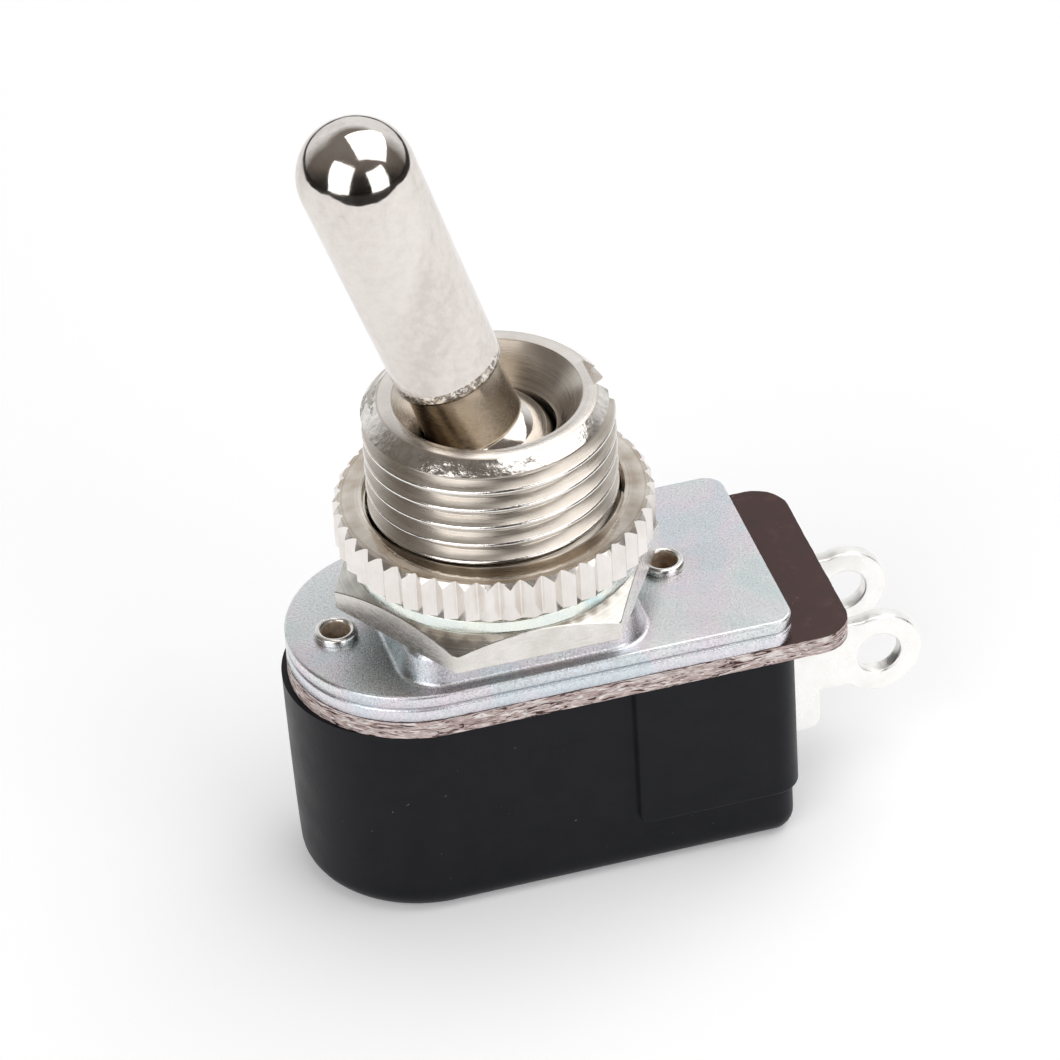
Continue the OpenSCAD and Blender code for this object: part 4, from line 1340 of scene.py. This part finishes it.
def case_rows():
    """Inset and height of the rows: the rounded bottom edge, then straight up, close together
    at the panel's foot."""
    turn = np.radians(np.linspace(0, 90, 9))
    round_off = CASE_EDGE * (1 - np.stack([np.sin(turn), np.cos(turn)], -1))
    edge = round_off + [0, case_low[2]]
    height = np.concatenate([
        np.linspace(edge[-1, 1] + 0.2, PANEL_FOOT - CLOSE_BEFORE, 4),
        PANEL_FOOT + np.linspace(0.1 - CLOSE_BEFORE, CLOSE_AFTER, 20),
        np.linspace(PANEL_FOOT + 1.2, board_low[2], 16),
    ])
    return np.vstack([edge, np.column_stack([np.zeros(len(height)), height])])


print("case grid:", len(case_rows()), "rows by", len(case_marks()), "columns")

# %% [markdown]
# The panel is a smooth step over its own rounded border, and the flare grows with the height and
# with how far a wall faces left. Added together and pushed out along the outline's own direction,
# they are one surface without a seam.

# %% Shape the case


def smooth_step(value):
    """3 v^2 - 2 v^3 between 0 and 1."""
    v = np.clip(value, 0, 1)
    return v * v * (3 - 2 * v)


def panel_rise(x, height):
    """How far the panel stands out: a smooth step of the distance inside its border, whose lower
    left corner is round."""
    dx, dz = x - PANEL_X - PANEL_CORNER, height - PANEL_FOOT - PANEL_CORNER
    corner = PANEL_CORNER - np.hypot(np.minimum(dx, 0), np.minimum(dz, 0))
    inside = np.where((dx < 0) & (dz < 0), corner, np.minimum(dx, dz) + PANEL_CORNER)
    return PANEL_OUT * smooth_step((inside - PANEL_START) / PANEL_BLEND)


def flare_rise(marks, height):
    """How far the left end stands out: it grows with the root of the height, and with how far
    the wall faces left."""
    angle = np.radians(np.interp(marks, [0, 1], [90, 270]))
    facing = np.where(marks < 1, np.maximum(-np.cos(angle), 0), 0)
    climb = (height - case_low[2]) / (board_low[2] - case_low[2])
    return FLARE_OUT * facing * np.sqrt(np.clip(climb, 0, 1))


def make_case():
    """The outline carried over the rows and shifted outwards by the panel and by the flare."""
    rows, marks = case_rows(), case_marks()
    flat = np.stack([outline(CASE_SIZE, marks, inset) for inset in rows[:, 0]])
    edge, height = outline(CASE_SIZE, marks), rows[:, 1:]
    away = outline(CASE_SIZE, marks, -1.0) - edge
    out = panel_rise(edge[:, 0], height) + flare_rise(marks, height)
    flat = flat + away * out[..., None]
    flat[..., 0] = np.maximum(flat[..., 0], case_low[0])
    return lattice("case_moulded", raised(flat, height), lids=True, crease=CASE_CREASE)


case = make_case()
print(case.name, "has", len(case.data.polygons), "faces before it is cut")

# %% [markdown]
# ## The case's cavity, slots and holes
# Inside, the case is a plain box with two ribs on its floor. On the right, two slots let the lugs
# out, and from below, two wide recesses take the feet of the eyelets. They are cut after the
# outside is made, because none of them needs to blend into it.

# %% Cut the case
CAVITY_HALF_X, CAVITY_HALF_Y, FLOOR_T = 6.75, 4.4, 1.5
LUG_Y, LUG_T = 2.7, 0.8
LUG_SLOT_X, LUG_SLOT_HALF, LUG_SLOT_FOOT = 6.70, 0.42, -9.5
RECESS_R, RECESS_H = 1.25, 0.8
RIB_Y, RIB_HALF, RIB_H, RIB_SUNK = 1.3, 0.4, 0.8, 0.2
ABOVE_CASE, BELOW_CASE, PAST_CASE = 1, -20, 20
floor_z = case_low[2] + FLOOR_T


def cut_case(cutter, operation="DIFFERENCE"):
    """One cut into the case, or one rib joined to it."""
    carve(case, cutter, operation, crease=CASE_CREASE)


cut_case(box(
    (-CAVITY_HALF_X, -CAVITY_HALF_Y, floor_z), (CAVITY_HALF_X, CAVITY_HALF_Y, ABOVE_CASE)))
for side in (-1, 1):
    near, far = side * LUG_Y - LUG_SLOT_HALF, side * LUG_Y + LUG_SLOT_HALF
    cut_case(box((LUG_SLOT_X, near, LUG_SLOT_FOOT), (PAST_CASE, far, ABOVE_CASE)))
    cut_case(rod(side * EYELET_X, EYELET_R + HOLE_GAP, BELOW_CASE, ABOVE_CASE))
    cut_case(rod(side * EYELET_X, RECESS_R, BELOW_CASE, case_low[2] + RECESS_H))
    near, far = side * RIB_Y - RIB_HALF, side * RIB_Y + RIB_HALF
    end = CAVITY_HALF_X + RIB_SUNK
    cut_case(box((-end, near, floor_z - RIB_SUNK), (end, far, floor_z + RIB_H)), "UNION")
print(case.name, "has", len(case.data.polygons), "faces after it is cut")

# %% [markdown]
# ## Phenolic resin
# Black resin isn't quite black: it is a little blue, satin rather than glossy, and it gathers dust.
# So the ground is a pair of very dark tones, and the dust specks and short hairs are noise cut off
# near its peaks. The specular level is low, because a stronger one would lift the black to grey
# under the large soft boxes.

# %% Finish the case


def black_phenolic():
    """Black moulded resin: satin, a little blue, with a fine skin, dust specks and short hairs."""
    tree, wire = blank_finish("black_phenolic", Specular_IOR_Level=0.17)
    place = in_mm(tree)
    cloud = noise(tree, place, 0.6, 4.0, 0.6)
    ground = tone(tree, cloud, (0.3, (0.004, 0.0045, 0.0065)), (0.7, (0.008, 0.0085, 0.0125)))
    dust = spread(tree, noise(tree, place, 5.5, 2.0, 0.4), 0.80, 0.84)
    dusty = blend_colours(tree, dust, ground, (0.16, 0.17, 0.19))
    turned = in_mm(tree, (0.25, 0.25, 1.0), (0.5, 0.4, 0))
    hair = spread(tree, noise(tree, turned, 6.0, 1.0, 0.4, 1.0), 0.82, 0.85)
    skin = emboss(tree, noise(tree, place, 3.0, 3.0), 0.015, 0.4)
    return wire(
        Base_Color=blend_colours(tree, hair, dusty, (0.35, 0.36, 0.38)),
        Roughness=rough_by(tree, cloud, 0.34, 0.46),
        Normal=emboss(tree, noise(tree, place, 18.0, 3.0), 0.003, 0.5, skin))


finish_piece(case, "switch_body", "case", [black_phenolic()])

# %% [markdown]
# ## Eyelets
# Two tubular rivets hold the plates, the board and the case together. Their heads are rolled over
# by a punch, so the rim is a half-round ring, and the bore keeps a brownish film. That film is
# half metal, half dirt, so its metallic value is half as well. A torus on a tube would look much
# the same, but one profile turned round leaves no seam between them.

# %% Make the eyelets
EYELET_HOLE_R, EYELET_RIM_R, EYELET_RIM_Z = 0.675, 1.05, 0.2
EYELET_FOOT_T, EYELET_EDGE = 0.78, 0.05
BORE_FILM = 0.03


def make_eyelet(name, side):
    """Rows from the foot's bore outwards, up the barrel and over the rolled rim."""
    foot = case_low[2] + 0.02
    flange = foot + EYELET_FOOT_T
    ring_r = (EYELET_RIM_R - EYELET_HOLE_R) / 2
    rolled = arc((EYELET_RIM_R - ring_r, EYELET_RIM_Z), ring_r, 0, 180, 12)
    return ring(name, [
        (EYELET_HOLE_R, foot), (EYELET_RIM_R - EYELET_EDGE, foot),
        (EYELET_RIM_R, foot + EYELET_EDGE), (EYELET_RIM_R, flange), (EYELET_R, flange),
        (EYELET_R, 0.0), (EYELET_RIM_R - 0.03, 0.0), (EYELET_RIM_R, 0.04), *rolled,
    ], even(64), x=side * EYELET_X, crease=32)


def stained_bore():
    """The inside of the tube: dull brass brown, rough enough to scatter light."""
    tree, wire = blank_finish("stained_bore", Metallic=0.5)
    film = noise(tree, in_mm(tree), 2.5, 3.0)
    return wire(
        Base_Color=tone(tree, film, (0.35, (0.42, 0.30, 0.20)), (0.65, (0.72, 0.62, 0.52))),
        Roughness=rough_by(tree, film, 0.35, 0.5))


def rivet_finish(side):
    """For the eyelet on one side: 0 on the barrel and the rolled rim, 1 in the stained bore."""
    return lambda middles: axis_places(middles, side * EYELET_X)[0] < EYELET_HOLE_R + BORE_FILM


rivet_finishes = [RIVET_NICKEL, stained_bore()]
for node, side in (("eyelet_left", -1), ("eyelet_right", 1)):
    rivet = make_eyelet(node + "_rolled", side)
    finish_piece(rivet, "switch_body", node, rivet_finishes, rivet_finish(side))

# %% [markdown]
# ## Solder lugs
# The two terminals are blanked from tinned strip. The blank is one flat outline with an arm that
# ends in an eye; its edges are softened by the tin, which a small bevel gives. The tin itself is
# pale and soft, and handling left shallow dents in its face, which are slow noise in the bump.

# %% Make the solder lugs
EYE_X, EYE_Z, EYE_R, EYE_HOLE_R = 17.9, -5.65, 2.16, 1.1
TAB_LOW, TAB_HIGH, TAB_RIGHT, TAB_CORNER = -9.4, -2.42, 14.85, 0.7
ARM_LOW, ARM_HIGH = -7.15, -3.625
BLADE_X = 3.95
TIN_EDGE = 0.10


def lug_outline():
    """The flat blank's outline, from the blade's foot: tab corner, arm, eye, arm, blade."""
    low_meet, high_meet = (
        math.degrees(math.asin((z - EYE_Z) / EYE_R)) for z in (ARM_LOW, ARM_HIGH))
    eye = arc((EYE_X, EYE_Z), EYE_R, -180 - low_meet, 180 - high_meet, 44)
    corner = arc((TAB_RIGHT - TAB_CORNER, TAB_LOW + TAB_CORNER), TAB_CORNER, -90, 0, 9)
    return np.vstack([
        [[BLADE_X, TAB_LOW]], corner, [[TAB_RIGHT, ARM_LOW]], eye,
        [[TAB_RIGHT, ARM_HIGH]], [[TAB_RIGHT, TAB_HIGH]], [[BLADE_X, TAB_HIGH]],
    ])


def make_lug(name, side):
    """The outline at both faces of the strip, with the eye's hole and softened edges."""
    flat = lug_outline()
    faces_y = side * LUG_Y + np.array([[-LUG_T / 2], [LUG_T / 2]])
    lug = lattice(name, raised(np.stack([flat, flat]), faces_y)[..., [0, 2, 1]], lids=True)
    hole = around([EYE_HOLE_R] * 2, [-2, 2], even(48))[..., [0, 2, 1]]
    carve(lug, lattice("hole", hole + [EYE_X, side * LUG_Y, EYE_Z], lids=True))
    soften = lug.modifiers.new("soften", "BEVEL")
    soften.width = TIN_EDGE * MM
    soften.segments = 3
    soften.limit_method = "ANGLE"
    soften.angle_limit = math.radians(40)
    return settle(lug, 50)


def tinned_strip():
    """Hot-dipped tin: pale, soft, with shallow dents and grey streaks."""
    tree, wire = blank_finish("tinned_strip", Metallic=1.0)
    place = in_mm(tree)
    cloud = noise(tree, place, 0.9, 3.0, 0.6)
    dents = emboss(tree, noise(tree, place, 1.1, 2.0), 0.05, 0.5)
    return wire(
        Base_Color=tone(tree, cloud, (0.3, (0.93, 0.925, 0.90)), (0.7, (0.98, 0.975, 0.955))),
        Roughness=rough_by(tree, noise(tree, place, 3.0, 4.0, 0.6), 0.24, 0.44),
        Normal=emboss(tree, noise(tree, place, 7.0, 2.0), 0.002, 0.5, dents))


tin = tinned_strip()
for node, side in (("terminal_front", -1), ("terminal_rear", 1)):
    finish_piece(make_lug(node + "_dipped", side), "switch_body", node, [tin])

# %% [markdown]
# ## Inner pieces
# The pin, the rod, the contact carrier, the contacts and the springs sit inside the case. Their
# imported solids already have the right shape, so they only get finishes: drawn steel, turned brass,
# silver contact faces and a brown moulded carrier.

# %% Finish the inner pieces


def drawn_metal(name, dark, pale, rough):
    """Drawn wire and strip: clouds in the colour, fine marks in the bump."""
    tree, wire = blank_finish(name, Metallic=1.0)
    place = in_mm(tree)
    marks = noise(tree, place, 6.0, 4.0, 0.6)
    return wire(
        Base_Color=tone(tree, noise(tree, place, 0.8, 3.0), (0.3, dark), (0.7, pale)),
        Roughness=rough_by(tree, marks, rough, rough + 0.15),
        Normal=emboss(tree, marks, 0.004, 0.6))


def brown_moulding():
    """Brown moulded resin with a woody fill."""
    tree, wire = blank_finish("brown_moulding", Specular_IOR_Level=0.4)
    fill = noise(tree, in_mm(tree), 2.2, 5.0, 0.65)
    return wire(
        Base_Color=tone(tree, fill, (0.35, (0.05, 0.025, 0.014)), (0.65, (0.12, 0.06, 0.03))),
        Roughness=rough_by(tree, fill, 0.42, 0.6),
        Normal=emboss(tree, fill, 0.01, 0.5))


steel = drawn_metal("drawn_steel", (0.45, 0.45, 0.46), (0.62, 0.62, 0.63), 0.25)
brass = drawn_metal("turned_brass", (0.62, 0.45, 0.19), (0.78, 0.60, 0.30), 0.24)
silver = drawn_metal("contact_silver", (0.78, 0.77, 0.74), (0.92, 0.91, 0.89), 0.22)
INNER_FINISHES = {
    "pivot_pin": steel, "drive_rod": steel, "contact_spring": steel, "detent_spring": steel,
    "bridge_sleeve": brass, "contact_button_front": silver, "contact_button_rear": silver,
    "contact_carrier": brown_moulding(),
}
for node, finish in INNER_FINISHES.items():
    for slot in frame["nodes"][node].material_slots:
        slot.material = finish
    print(node, "is finished in", finish.name)
